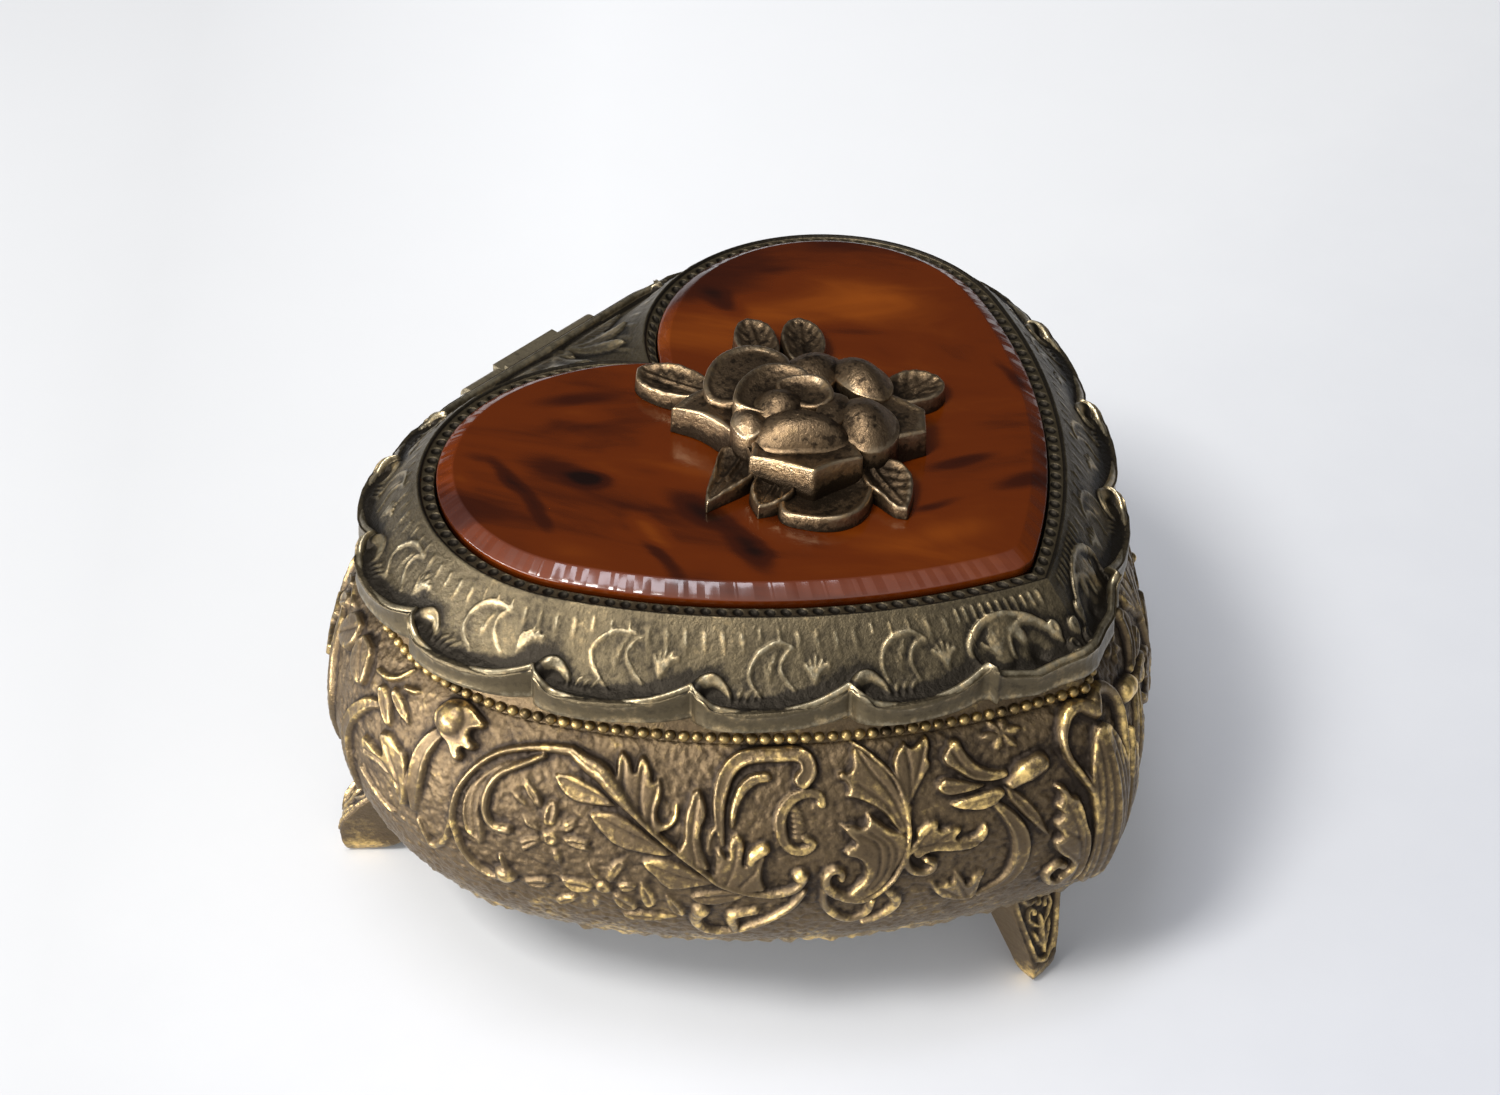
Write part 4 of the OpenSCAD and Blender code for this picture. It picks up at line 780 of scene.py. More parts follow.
def lidRelief():
    r = newRelief((-4, halfLength + 1), (0, 7.6), lid["reliefStep"])
    # a scroll at the lobe side of each scallop, crescents with fans, and darts under the ridge
    ends = lid["scallopEnds"]
    for k in range(2, len(ends)):
        e = ends[k]
        sink(r, (e - 2.6, 5.5), [1.2, 0.8], 0.5)
        tall = 1.0 if k < 6 else 0.6
        hook = points("0.9 7.2, 0.5 6.1, 0.75 5, 1.7 4.3, 2.8 4.2, 3.8 4.8, 4.1 5.6")
        stroke(r, [(e - before, out) for before, out in hook], [0.95, 0.95, 0.82, 0.62, 0.5, 0.42, 0.3],
               [lift * tall for lift in (1.2, 1.15, 0.95, 0.75, 0.6, 0.45, 0.3)], gilt=0.5)
        for j in range(3):
            ray = [(e - 4.9 - j * 0.8, 5.7), (e - 5.1 - j * 0.9, 5.1), (e - 5.6 - j, 4.7)]
            stroke(r, ray, [0.16, 0.2, 0.1], 0.2, gilt=0.2)
    # outer and inner arc, and root and end of the shell beside them
    crescents = [
        ("22.6 4.6, 22.9 3.4, 22 2.3, 20.4 1.7, 18.6 1.6, 17.2 2.2", "19.2 4.7, 19.6 3.4, 18.7 2.5, 17.2 2.2",
         (15.8, 4.3, 15.6, 2.3)),
        ("36.6 5.4, 37.6 3.8, 36.8 2.7, 35.6 2.1, 33.9 1.7, 32.3 2", "32.9 4.8, 34.1 3.4, 33.4 2.5, 32.3 2",
         (30.6, 4.4, 30, 2.4)),
        ("52.8 5.6, 55 3.4, 54.5 2.3, 52.4 1.5, 50 1.5", "49.2 4.7, 51.1 3, 50 1.9, 49.2 1.8",
         (47.4, 4.2, 46.6, 2.1)),
        ("69.4 4.9, 71.4 3.7, 71 2.4, 69 1.4, 65.6 1.4", "65.6 4.3, 67.2 3.1, 67.1 2.1, 65.6 1.4",
         (63.8, 4, 62, 1.9)),
        ("86.4 4.9, 88.2 3.6, 87.4 2.3, 85.4 1.5, 82.6 1.6", "82.8 4.4, 84.4 3.1, 83.9 2, 82.6 1.6",
         (80.8, 4, 80, 2)),
        ("102 4.9, 103.6 3.6, 102.8 2.3, 101 1.5, 98.4 1.6", "98.6 4.4, 100.2 3.1, 99.6 2, 98.4 1.6",
         (96.8, 4, 96, 2)),
        ("114.6 4.9, 116 3.6, 115 2.3, 113.4 1.5, 111 1.6", "111.4 4.4, 112.6 3.1, 112.2 2, 111 1.6",
         (109.6, 4, 109, 2)),
    ]
    crescents = [(points(outer), points(inner), fan) for outer, inner, fan in crescents]
    for outer, inner, fan in crescents:
        mid = [((a[0] + b[0]) / 2, (a[1] + b[1]) / 2) for a, b in zip(outer[:4], (inner + inner)[:4])]
        sink(r, np.mean(mid, 0) + [0.2, 0.3], [1.5, 1.0], 0.45)
        stroke(r, outer, [0.12, 0.19, 0.18, 0.12], 0.28, gilt=0.4)
        stroke(r, inner, [0.12, 0.18, 0.16, 0.1], 0.25, gilt=0.4)
        cu, co = np.mean([q[0] for q in mid]), np.mean([q[1] for q in mid])
        for j in range(4):
            a = math.radians(70 + 22 * j)
            root = cu + 0.5 - 0.15 * j
            end = (root + 1.0 * math.cos(a), co + 0.5 - 0.35 * j - 0.8 * math.sin(a))
            stroke(r, [(root, co + 0.9 - 0.35 * j), end], [0.06, 0.14, 0.05], 0.2, gilt=0.4)
        # a small shell: its rays end in a scalloped edge
        u0, o0, u1, o1 = fan
        for j in range(5):
            off = (j - 2) * 0.5
            ray = [(u0, o0), ((u0 + u1) / 2 + off * 0.7, (o0 + o1) / 2), (u1 + off * 1.3, o1 + 0.3 + abs(off) * 0.45)]
            stroke(r, ray, [0.08, 0.15, 0.16], [0.14, 0.3, 0.32], gilt=0.4)
    u = 14.4
    while u < halfLength - 2:
        if any(min(outer)[0] - 0.4 < u < max(outer)[0] + 0.4 for outer, inner, fan in crescents):
            stroke(r, [(u, 0.9), (u, 1.6)], [0.16, 0.1], 0.22, gilt=0.3)
        else:
            dart = [(u - 0.4, 0.8), (u + 0.4, 0.8), (u + 0.36, 2.2), (u, 3.1), (u - 0.36, 2.2)]
            blade(r, dart, 0.3, [[(u, 0.9), (u, 2.8)]], lip=0.06, gilt=0.3)
        u += 2.15
    for u in np.arange(2.2, 13.0, 1.05):
        stroke(r, [(u, 0.7), (u, 1.5)], [0.2, 0.14], 0.28)
    # the point: large crescent, flowers and hollow
    stroke(r, points("9.4 4.2, 9.2 3, 7.4 2.4, 6.4 3.2"), [1.1, 1.2, 1.0, 0.6], 0.35, form="flat")
    stroke(r, points("12.1 5, 12.8 3.4, 11 2.1, 8.4 1.6, 5.6 1.9, 3.4 2.8, 2.2 4.2"),
           [0.24, 0.3, 0.3, 0.3, 0.28, 0.26], 0.48, gilt=0.4)
    stroke(r, points("8.2 4.4, 7.9 3.2, 6.3 2.4, 4.5 2.5, 3.1 3.4"), [0.2, 0.26, 0.26, 0.22, 0.18], 0.44, gilt=0.4)
    for j in range(5):
        stroke(r, [(9.6, 4.2), (11.2 - j * 0.8, 3.1 - 0.25 * min(j, 3))], [0.1, 0.08], 0.5)
    for centre in [(0, 3.6), (1.25, 4.9), (-1.25, 4.9), (2.5, 3.4)]:
        ball(r, centre, 0.75, 0.95, pit=0.6, gilt=0.3)
    sink(r, (5.4, 4.5), [0.9, 0.75], 0.6)
    # the back between the lobes: a spray of leaves
    for tip in [(halfLength - 7, 2.2), (halfLength - 10, 4.6), (halfLength - 3.4, 1.6)]:
        leaf(r, [(halfLength - 1, 5.2), tip], 1.1, 0.5)
    ball(r, (halfLength, 5.2), 1.0, 0.7, pit=0.3)
    return r


def lidPieces():
    r = lidRelief()
    form = blur(r["h"], 0.8)
    # hollows come out darker (patina and painted shade) and crests lighter (wear and painted highlight)
    patina_shade_and_shine = np.clip(1.4 * (blur(form, 1.0) - 0.55 * blur(form, 3.0) - 0.45 * blur(form, 8.0)), -0.4, 0.12)
    gilt = blur(r["gilt"], 1.2) * 0.6 + 0.3
    rough = roughen(form.shape, r["step"], 0.25, 0.02, 8) + roughen(form.shape, r["step"], 0.9, 0.02, 9)
    columns = np.arange(0, halfLength + lid["step"] / 2, lid["step"])
    columns[-1] = halfLength
    edge, top = rimEdge(columns)
    band, bandHeight, step = lid["bandWidth"], lid["bandHeight"], lid["reliefStep"]
    rows = []
    attr = {"relief": [], "patina_shade_and_shine": [], "gilt": []}

    def sample(field, out):
        fu = np.clip((columns - r["u"][0]) / step, 0, len(r["u"]) - 1.001)
        fv = np.clip((out - r["v"][0]) / step, 0, len(r["v"]) - 1.001)
        a, b = fu.astype(int), fv.astype(int)
        x, y = fu - a, fv - b
        return (field[a, b] * (1 - x) * (1 - y) + field[a + 1, b] * x * (1 - y)
                + field[a, b + 1] * (1 - x) * y + field[a + 1, b + 1] * x * y)

    def add(out, z, h=0.0, c=0.0, g=0.1):
        x, y = outline(columns, out, bridgeOf(out))
        rows.append(np.stack([x, y, np.broadcast_to(z, x.shape)], -1))
        for key, value in (("relief", h), ("patina_shade_and_shine", c), ("gilt", g)):
            attr[key].append(np.broadcast_to(np.asarray(value, float), x.shape))

    # ridge crest, then the flange with its relief and the rolled band at its edge
    n = lid["flangeRows"]
    rim = lidZ + top
    for k in range(n):
        w = k / (n - 1)     # share of the way from the ridge to the edge
        out = w * edge
        h = sample(form, out) * np.clip(w * 14, 0, 1)
        z = np.interp(out, flangeOut, flangeZ) + ridgeZ + h + sample(rough, out) * np.clip(w * 14, 0, 1)
        inner = edge - out
        swell = np.clip(1 - (np.abs(inner - band * 0.55) / (band * 0.52)) ** 1.9, 0, 1) ** 0.7
        roll = np.where(inner < band, swell, 0)
        crown = rim - bandHeight + bandHeight * roll
        z = np.where(roll > 0, np.maximum(z, crown), z)
        if k == n - 1:
            z = np.maximum(rim - 0.35, lidZ + 1)
        # painted highlight along the rolled band's crown; the recess inside it is darker, patina and painted shade
        onRim = (roll > 0) & (crown >= z - 1e-6)
        recessPatinaAndShade = 0.28 * np.exp(-((inner - 1.3) / 0.65) ** 2)
        add(out, z, np.where(onRim, 1.0, np.clip(h / 0.8, 0, 1)),
            np.where(onRim, 0.13 * roll, sample(patina_shade_and_shine, out) - recessPatinaAndShade), np.where(onRim, 0.2, sample(gilt, out)))
    topZ = rows[-1][:, 2]
    # the rim's face is lighter near its top and bottom edges and darker midway: painted highlight and shade
    for s in (0.12, 0.3, 0.5, 0.7, 0.88):
        bow = -0.16 * math.sin(math.pi * s)
        add(edge + bow, topZ + (lidZ + 0.15 - topZ) * s, 1.0, 0.13 - 0.14 * math.sin(math.pi * s), 0.3)
    add(edge, lidZ + 0.12, 1.0, 0.1, 0.3)
    add(edge - 0.15, lidZ, 0.6, 0.0, 0.1)
    landIn = neckOut - base["wall"]
    ledgeIn, ledgeZ = seatOut - lid["ledgeWidth"], seatZ - lid["ledge"]
    channel = [(out, None) for out in np.linspace(seatOut + 0.2, -lid["ridgeWidth"] - 0.06, 15)]
    for out, z in ((landIn, lidZ), (landIn, lidZ + 2.4), (0.9, ledgeZ), (ledgeIn, ledgeZ), (ledgeIn, seatZ),
                   (seatOut, seatZ), (seatOut, channelZ - 0.05), (seatOut + 0.12, channelZ + 0.05), *channel,
                   (-lid["ridgeWidth"], ridgeZ - 0.1), (-lid["ridgeWidth"] + 0.1, ridgeZ)):
        if z is not None:
            add(np.full_like(columns, out), z, 0.1, -0.15, 0.0)
            continue
        # the strip's round pits are evenly spaced along the channel
        middle = (seatOut - lid["ridgeWidth"]) / 2
        way = wayAlong(columns, middle) / lid["pitPitch"]
        along = (np.abs(way - np.round(way - 0.5) - 0.5)) * lid["pitPitch"]
        d = np.hypot(along, (out - middle) * 0.95)
        pit = np.clip(1 - (d / lid["pitRadius"]) ** 4, 0, 1)
        floorZ = channelZ + lid["pitDepth"] - lid["pitDepth"] * pit
        # the pits are darker than the strip between them: patina and painted shade
        add(np.full_like(columns, out), floorZ, 0.5, 0.02 - 0.5 * pit, -1.0)
    grid = np.stack(rows, 1)
    grid[[0, -1], :, 0] = 0
    values = {key: np.stack(value, 1) for key, value in attr.items()}
    pieces = []
    for name, sign in (("right", 1), ("left", -1)):
        whole = grid.copy()
        whole[..., 0] *= sign
        pieces.append(gridMesh(f"lid_{name}", whole, closedColumns=True, attributes=values))
    return pieces


# Heart inset
inset = {"thickness": 2.9, "bevelHeight": 1.0, "bevelWidth": 1.7, "gap": 0.1, "tipRound": 1.6, "tipShort": 0.45}
insetTop = seatZ + 0.02 + inset["thickness"]


def insetPiece():
    out = seatOut - inset["gap"]
    u = outlineSteps(200, 200, 70)
    low, high = seatZ + 0.02, insetTop
    w, b = inset["bevelWidth"], inset["bevelHeight"]
    section = [(-10, low), (0, low), (0, high - b - 0.12), (-0.03, high - b - 0.04), (-0.12, high - b + 0.05),
               (-w * 0.3, high - b * 0.72), (-w * 0.6, high - b * 0.38), (-w + 0.12, high - 0.08),
               (-w - 0.02, high - 0.015), (-w - 0.16, high)]
    rows = []
    for d, z in section:
        x, y = outline(u, out + d, 0)
        rows.append(np.stack([x, y, np.full_like(x, z)], -1))
    half = np.stack(rows, 1)
    # the plastic's point is rounded off
    r, x = inset["tipRound"], half[..., 0]
    half[..., 1] = np.where(x < r, half[..., 1] + inset["tipShort"] * (1 - x / r) ** 2, half[..., 1])
    left = half[::-1].copy()
    left[..., 0] *= -1
    ring = np.concatenate([half, left[1:-1]], 0)
    mesh = bpy.data.meshes.new("inset")
    nu, nv = ring.shape[:2]
    verts = (ring.reshape(-1, 3) * mm).tolist()
    faces = []
    for i in range(nu):
        for j in range(nv - 1):
            i2 = (i + 1) % nu
            faces.append((i * nv + j, i2 * nv + j, i2 * nv + j + 1, i * nv + j + 1))
    faces.append(tuple(i * nv + nv - 1 for i in range(nu)))
    faces.append(tuple(i * nv for i in range(nu))[::-1])
    mesh.from_pydata(verts, [], faces)
    obj = addObject("amber_heart", mesh)
    closeEnds(obj)
    setValues(mesh, "along", np.repeat(np.concatenate([u, -u[::-1][1:-1]]), nv))
    setValues(mesh, "bevel", np.tile([0, 0, 0, 0, 1, 1, 1, 1, 0.2, 0], nu))
    for p in mesh.polygons:
        p.use_smooth = len(p.vertices) == 4
    return obj


# Cast rose
# Each petal has a rim of "x y height" from the rose's middle and the inset's top, and
# a middle that its top is drawn to
rose = {
    "x": -2.0, "y": heartY - 10.3, "foot": 0.0, "draft": 0.14, "roundEdge": 0.3,
    "rings": 20, "around": 104,
    "cell": 0.3, "reach": 21, "cells": 140,      # grid of the heights seen from above
}
roseLeaves = {
    # rim, root and tip of the midrib, height of the middle
    "leaf_left": ("-3.7 18.2 1.8, -2.5 18.9 1.7, -1.1 18.1 1.8, 0.3 16.4 2.0, 0.8 14.2 2.1, 0.6 11.6 2.2, "
        "-0.6 8.6 2.2, -2.6 10.0 2.2, -4.3 12.6 2.1, -4.9 15.4 2.0, -4.6 17.2 1.9", (-0.6, 9), (-2.9, 18.7), 1.35),
    "leaf_top_a": ("7.3 13.2 2.1, 8.7 15.2 2.0, 10.9 16.5 1.8, 12.4 16.2 1.7, 12.9 14.0 1.9, 11.6 11.4 2.1, "
        "9.4 9.2 2.2, 6.6 8.8 2.2, 6.4 10.6 2.2", (7, 9), (12.2, 16.2), 1.3),
    "leaf_top_b": ("10.9 9.8 2.1, 12.6 11.7 2.0, 14.8 12.7 1.8, 16.3 12.2 1.7, 16.4 9.9 1.9, 15.0 7.4 2.1, "
        "12.6 5.6 2.2, 9.6 5.4 2.2, 9.5 7.6 2.2", (9.8, 6), (16.2, 12.2), 1.3),
    "leaf_right": ("11.4 -3.2 2.3, 13.6 -2.5 2.2, 15.9 -2.7 2.1, 17.5 -3.9 1.9, 18.1 -5.9 1.8, 17.2 -7.6 1.9, "
        "15.3 -8.3 2.1, 13.3 -7.8 2.2, 11.3 -6.4 2.3", (11, -5), (18, -5.9), 1.45),
    "leaf_front": ("-0.3 -10.6 2.2, 2.1 -10.9 2.2, 3.2 -12.6 2.2, 2.6 -14.8 2.0, 0.8 -16.5 1.7, -1.8 -17.9 1.2, "
        "-2.4 -16.6 1.5, -2.1 -14.4 2.0, -1.8 -12.2 2.2", (0.8, -11), (-1.6, -17.7), 1.35),
    "leaf_low_a": ("-7.4 2.2 2.3, -10.5 0.9 2.1, -13.6 -0.9 1.6, -14.9 -2.1 1.1, -12.3 -2.6 1.8, -9.3 -3.1 2.2, "
        "-7.4 -2.8 2.3, -6.0 -0.5 2.3", (-7, 0.1), (-14.7, -2), 1.35),
    "leaf_low_b": ("-8.0 -3.3 2.1, -10.4 -4.1 2.0, -12.0 -6.6 1.5, -10.1 -7.6 1.9, -7.8 -7.8 2.1, -6.9 -6.6 2.1, "
        "-7.0 -4.8 2.1", (-7.4, -5.2), (-11.9, -6.6), 1.2),
}
roseLeafCorners = {"leaf_low_a": (3,), "leaf_low_b": (2,), "leaf_front": (5,)}
rosePetals = {
    # rim, middle, corners of the rim, rise of the lip, power of the fall to the rim
    "sepal_left": ("-7.2 9.8 3.1, -6.3 6.5 3.6, -6.5 2.8 3.8, -7.2 -0.4 3.6, -8.1 -2.5 3.2, -4.5 -2.6 3.4, 0 1 4, "
        "0 7 4, -3.4 9.6 3.4", (-3.6, 4.2, 3.7), (0, 4), 0.16, 2),
    "sepal_front": ("-8.9 -2.6 4.1, -7.9 -5.6 4.5, -6.9 -9.6 4.8, -4.1 -10.2 4.6, -1.2 -11.4 4.3, 0.6 -8 4, "
        "0 -5 4.3, -5 -1 4.3", (-4.4, -5.8, 3.8), (0, 2, 4), 0.2, 2),
    "sepal_right": ("10.4 -5.2 3.0, 10.8 -9.9 3.1, 7.8 -12.5 3.2, 5.3 -11.4 3.4, 1.1 -9.5 3.4, 3 -6 3.8, 7 -4 3.6",
        (5.8, -8.3, 3.3), (1, 2, 4), 0.16, 2),
    "petal_low": ("-10.7 -8.5 1.3, -10.0 -11.5 1.5, -8.2 -13.8 1.7, -5.7 -14.7 1.75, -3.2 -14.1 1.75, "
        "-1.0 -12.3 1.7, -1.5 -8 1.2, -7 -6 1.2", (-5.4, -10.4, 0.9), (), 0.3, 3),
    "petal_back": ("-4.4 6.3 3.9, -3.5 8.7 4.2, -0.5 10.6 4.4, 2.5 11.2 4.4, 5.4 10.3 4.2, 6.9 8.1 4.0, 6.2 5 4.3, "
        "2 2.6 4.8, -3 3.6 4.6", (0.8, 6.6, 4.5), (), 0.42, 2.6),
    "petal_back_right_a": ("4.2 3.6 3.6, 5.6 5.5 3.4, 8.2 6.0 3.2, 10.6 4.8 3.1, 11.3 2.4 3.2, 9.3 0.2 3.5, "
        "6.0 -0.4 3.8, 4.0 1.2 3.9", (7.3, 2.9, 5.3), (), 0.0, 2.1),
    "petal_back_right_b": ("9.0 2.2 3.4, 11.6 2.2 3.2, 13.0 0.0 3.0, 12.8 -2.8 3.0, 11.3 -5.2 3.1, 8.6 -6.0 3.4, "
        "7.0 -3.6 3.9, 7.4 -0.6 3.8", (9.9, -1.6, 5.4), (), 0.0, 2.1),
    "petal_right": ("-0.2 -8.9 3.9, 0.6 -5.9 4.5, 2.9 -4.2 4.7, 5.9 -4.5 4.4, 7.3 -6.6 3.9, 6.6 -9.6 3.6, "
        "4.2 -11.5 3.5, 1.6 -11.7 3.5, 0.0 -10.7 3.6", (3.1, -7.6, 6.5), (), 0.0, 2.1),
    "petal_front": ("-7.2 -1.5 3.7, -6.6 -3.9 3.5, -4.7 -6.1 3.4, -2.2 -8.1 3.4, 0.3 -8.9 3.6, 1.4 -6.8 4.3, "
        "0.3 -3.4 5.0, -2.4 -0.9 5.3, -5.2 -0.1 4.7", (-2.7, -4.0, 6.7), (), 0.0, 2.6),
    "petal_mid": ("-4.9 2.7 6.0, -3.1 4.6 6.2, -0.5 5.4 6.3, 2.2 5.2 6.2, 4.0 3.6 6.1, 4.4 1.0 6.1, 2 -2 5.6, "
        "-3 -1 5.6", (-0.4, 1.4, 5.3), (), 0.22, 3),
    "petal_wrap": ("0.9 2.2 6.3, 2.7 1.2 6.6, 4.0 -0.3 6.7, 4.1 -2.1 6.6, 2.6 -4.1 6.4, 0.3 -3.8 6.0, "
        "-0.8 -1.4 5.7, -0.2 1.2 6.0", (1.2, -1.0, 5.9), (), 0.2, 3),
    "petal_tip": ("-1.7 -5.1 6.1, 0.6 -3.6 6.2, 3.7 -2.7 5.8, 4.3 -4.6 5.6, 2.2 -6.5 5.4, -0.6 -6.7 5.5",
        (1.0, -4.9, 6.1), (0, 2), 0.0, 2),
    "petal_curl": ("-7.4 0.2 4.3, -6.6 2.1 4.7, -4.8 2.6 5.2, -4.0 0.6 5.6, -5.0 -1.4 5.2, -6.9 -1.3 4.5",
        (-5.6, 0.5, 6.2), (), 0.0, 2.0),
    "bud": ("-4.1 0.6 5.2, -2.8 2.2 5.3, -0.7 2.4 5.3, 1.0 1.0 5.3, 1.3 -1.1 5.2, 0.1 -2.7 5.1, -1.9 -3.0 5.1, "
        "-3.7 -1.7 5.1", (-1.5, -0.2, 7.0), (), 0.0, 2.0),
}


# A closed smooth line through points, with straight meetings at the corners
def closedLine(controls, corners, count):
    p = np.asarray(controls, float)
    n = len(p)
    line = []
    for k in range(n):
        a, b, c, d = p[k - 1], p[k], p[(k + 1) % n], p[(k + 2) % n]
        if k in corners:
            a = 2 * b - c
        if (k + 1) % n in corners:
            d = 2 * c - b
        t = np.linspace(0, 1, 24, endpoint=False)[:, None]
        line.append(smooth(a, b, c, d, t))
    line = np.vstack(line)
    whole = np.vstack([line, line[:1]])
    way = np.concatenate([[0], np.cumsum(np.linalg.norm(np.diff(whole[:, :2], axis=0), axis=1))])
    at = np.linspace(0, way[-1], count, endpoint=False)
    return np.stack([np.interp(at, way, whole[:, i]) for i in range(3)], -1)


# Rings of one cast petal from its middle out to the rim, round its edge and down its side
def petalRings(rim, middle, corners=(), lip=0.0, power=2.0, detail=None):
    line = closedLine(rim, corners, rose["around"])
    mid = np.array(middle, float)
    reach = np.linalg.norm(line[:, :2] - mid[:2], axis=1)
    edge = rose["roundEdge"]
    rings, tops = [], []

    def put(share, z, top):
        x, y = mid[0] + (line[:, 0] - mid[0]) * share, mid[1] + (line[:, 1] - mid[1]) * share
        rings.append(np.stack([x, y, z], -1))
        tops.append(np.full(len(line), top))

    for k in range(1, rose["rings"] + 1):
        s = (k / rose["rings"]) ** 0.85
        share = s * (1 - edge / reach)
        z = mid[2] + (line[:, 2] - mid[2]) * share ** power
        d = (1 - share) * reach
        z = z + lip * np.exp(-((d - 0.45) / 0.35) ** 2)
        if detail:
            x, y = mid[0] + (line[:, 0] - mid[0]) * share, mid[1] + (line[:, 1] - mid[1]) * share
            z = z + detail(x, y, d)
        put(share, z, np.exp(-(d / 0.5) ** 2))
    crest = rings[-1][:, 2]
    for a in (30, 60, 90):
        a = math.radians(a)
        put(1 - edge / reach * (1 - math.sin(a)), crest - edge * (1 - math.cos(a)), 1 - a * 0.35)
    for drop in (0.3, 0.62, 0.97):
        put(1 + rose["draft"] * drop / reach, (crest - edge) * (1 - drop) + rose["foot"] * drop, 0.25 - 0.35 * drop)
    return mid, rings, tops


# Midrib and slanting veins of a leaf
def leafDetail(root, tip):
    root, tip = np.array(root, float), np.array(tip, float)
    length = np.linalg.norm(tip - root)
    axis = (tip - root) / length

    def shape(x, y, d):
        t = (x - root[0]) * axis[0] + (y - root[1]) * axis[1]
        c = (y - root[1]) * axis[0] - (x - root[0]) * axis[1]
        rib = 0.2 * np.exp(-(c / 0.24) ** 2) - 0.16 * np.exp(-((np.abs(c) - 0.5) / 0.3) ** 2)
        vein = 0.06 * np.cos((t - np.abs(c) * 1.1) * 2 * math.pi / 1.7) * np.clip((np.abs(c) - 0.3) / 0.6, 0, 1)
        return (rib * np.clip(1 - t / length * 0.6, 0.3, 1) + vein) * np.clip(d / 0.55, 0, 1)

    return shape


def rosePiece():
    made = []
    for name, (rim, root, tip, low) in roseLeaves.items():
        mid = [(a + b) / 2 for a, b in zip(root, tip)] + [low]
        corners = roseLeafCorners.get(name, ())
        made.append(petalRings(points(rim), mid, corners, 0.12, 3.0, leafDetail(root, tip)))
    for name, (rim, mid, corners, lip, power) in rosePetals.items():
        made.append(petalRings(points(rim), mid, corners, lip, power))
    # heights seen from above, for the painted shade in the low places between petals
    cell, size = rose["cell"], rose["cells"]
    seen = np.zeros((size, size))

    def cellOf(places):
        return tuple(np.clip(((places[:, k] + rose["reach"]) / cell).astype(int), 0, size - 1) for k in (0, 1))

    for mid, rings, tops in made:
        for ring in rings[:-3]:
            np.maximum.at(seen, cellOf(ring), ring[:, 2])
    near = blur(seen, 1.1 / cell)
    verts, faces, relief, patina_shade_and_shine = [], [], [], []
    n = rose["around"]
    rng = np.random.default_rng(21)
    for mid, rings, tops in made:
        start = len(verts)
        pts = np.vstack([mid[None], *rings])
        top = np.concatenate([[0.0], *tops])
        low = np.clip(pts[:, 2] - near[cellOf(pts)], -2.0, 1.2)
        verts += pts.tolist()
        relief += np.clip(top, 0, 1).tolist()
        # painted shade where a petal lies below its neighbours; lighter near its rounded edge, wear and painted
        # highlight
        patina_shade_and_shine += (0.14 * low + 0.16 * top - 0.03).tolist()
        faces += [(start, start + 1 + k, start + 1 + (k + 1) % n) for k in range(n)]
        for r in range(len(rings) - 1):
            a, b = start + 1 + r * n, start + 1 + (r + 1) * n
            faces += [(a + k, b + k, b + (k + 1) % n, a + (k + 1) % n) for k in range(n)]
    verts = np.array(verts)
    verts += rng.normal(0, 0.006, verts.shape)
    verts = (verts + [rose["x"], rose["y"], insetTop + 0.02]) * mm
    mesh = bpy.data.meshes.new("rose")
    mesh.from_pydata(verts.tolist(), [], faces)
    obj = addObject("rose", mesh)
    closeEnds(obj)
    for key, values in (("relief", relief), ("patina_shade_and_shine", patina_shade_and_shine), ("gilt", [0.45] * len(relief))):
        setValues(mesh, key, values)
    mesh.polygons.foreach_set("use_smooth", np.ones(len(mesh.polygons), bool))
    return obj


# Feet
# Profiles are "outwards-from-the-toe height" of the outer face and of the sole
foot = {
    "top": base["bottom"] - 0.02, "levels": 90, "around": 150,
    "front": {"turn": -90.0,
              "face": "-0.9 0, -0.3 0.5, -0.02 1.3, 0 2.6, -0.35 5, -1.1 8.5, -1.8 11.5, -2.3 14.48",
              "sole": "-1.9 0, -2.8 0.9, -4.2 3.6, -6.6 8.8, -8.6 12.6, -9.2 14.48"},
    "rear": {"turn": 50.0, "out": 11.4,
             "face": "-1.3 0, -0.45 0.6, -0.1 1.7, 0 3.6, -0.5 5.8, -2.5 8.9, -5.2 12, -7.6 14.48",
             "sole": "-3.2 0, -6 1, -8.6 2.8, -11.2 6.8, -13.4 11, -14.4 14.48"},
    "halfWidths": "1 0, 1.55 0.5, 1.9 1.4, 2.15 3, 3.1 7, 4.1 11, 4.7 14.48",
    "smoothing": 7,      # rounds that soften the section's corners
}


# Ornament of a foot's face: a raised rim that turns round the toe, a leaf and curls
def footRelief():
    r = newRelief((-5.4, 5.4), (-0.5, 15), 0.08)
    rimLine = points("-4.25 14.6, -3.35 10.5, -2.35 6.6, -1.75 4.6, -1.15 3.5, 0 3, 1.15 3.5, 1.75 4.6, 2.35 6.6, "
                     "3.35 10.5, 4.25 14.6")
    stroke(r, rimLine, [0.3, 0.3, 0.34, 0.34, 0.3, 0.3], 0.42, gilt=0.35)
    leaf(r, [(0, 4.0), (0, 6.4), (0, 9.2)], 0.75, 0.45, gilt=0.5)
    for side in (-1, 1):
        leaf(r, [(0.1 * side, 4.6), (0.8 * side, 5.9), (1.5 * side, 7.6)], 0.42, 0.36, gilt=0.6)
        curl = points("0.3 7.6, 1.2 8.4, 2 9.6, 1.5 10.6, 0.9 10")
        stroke(r, [(across * side, up) for across, up in curl], [0.2, 0.26, 0.24], 0.38, gilt=0.6)
        stroke(r, [(0.4 * side, 11.0), (1.7 * side, 11.4), (2.8 * side, 12.8)], [0.22, 0.3, 0.2], 0.32, gilt=0.4)
        ball(r, (0.95 * side, 9.9), 0.4, 0.5, gilt=1.0)
    ball(r, (0, 10.6), 0.45, 0.45, gilt=0.8)
    return r


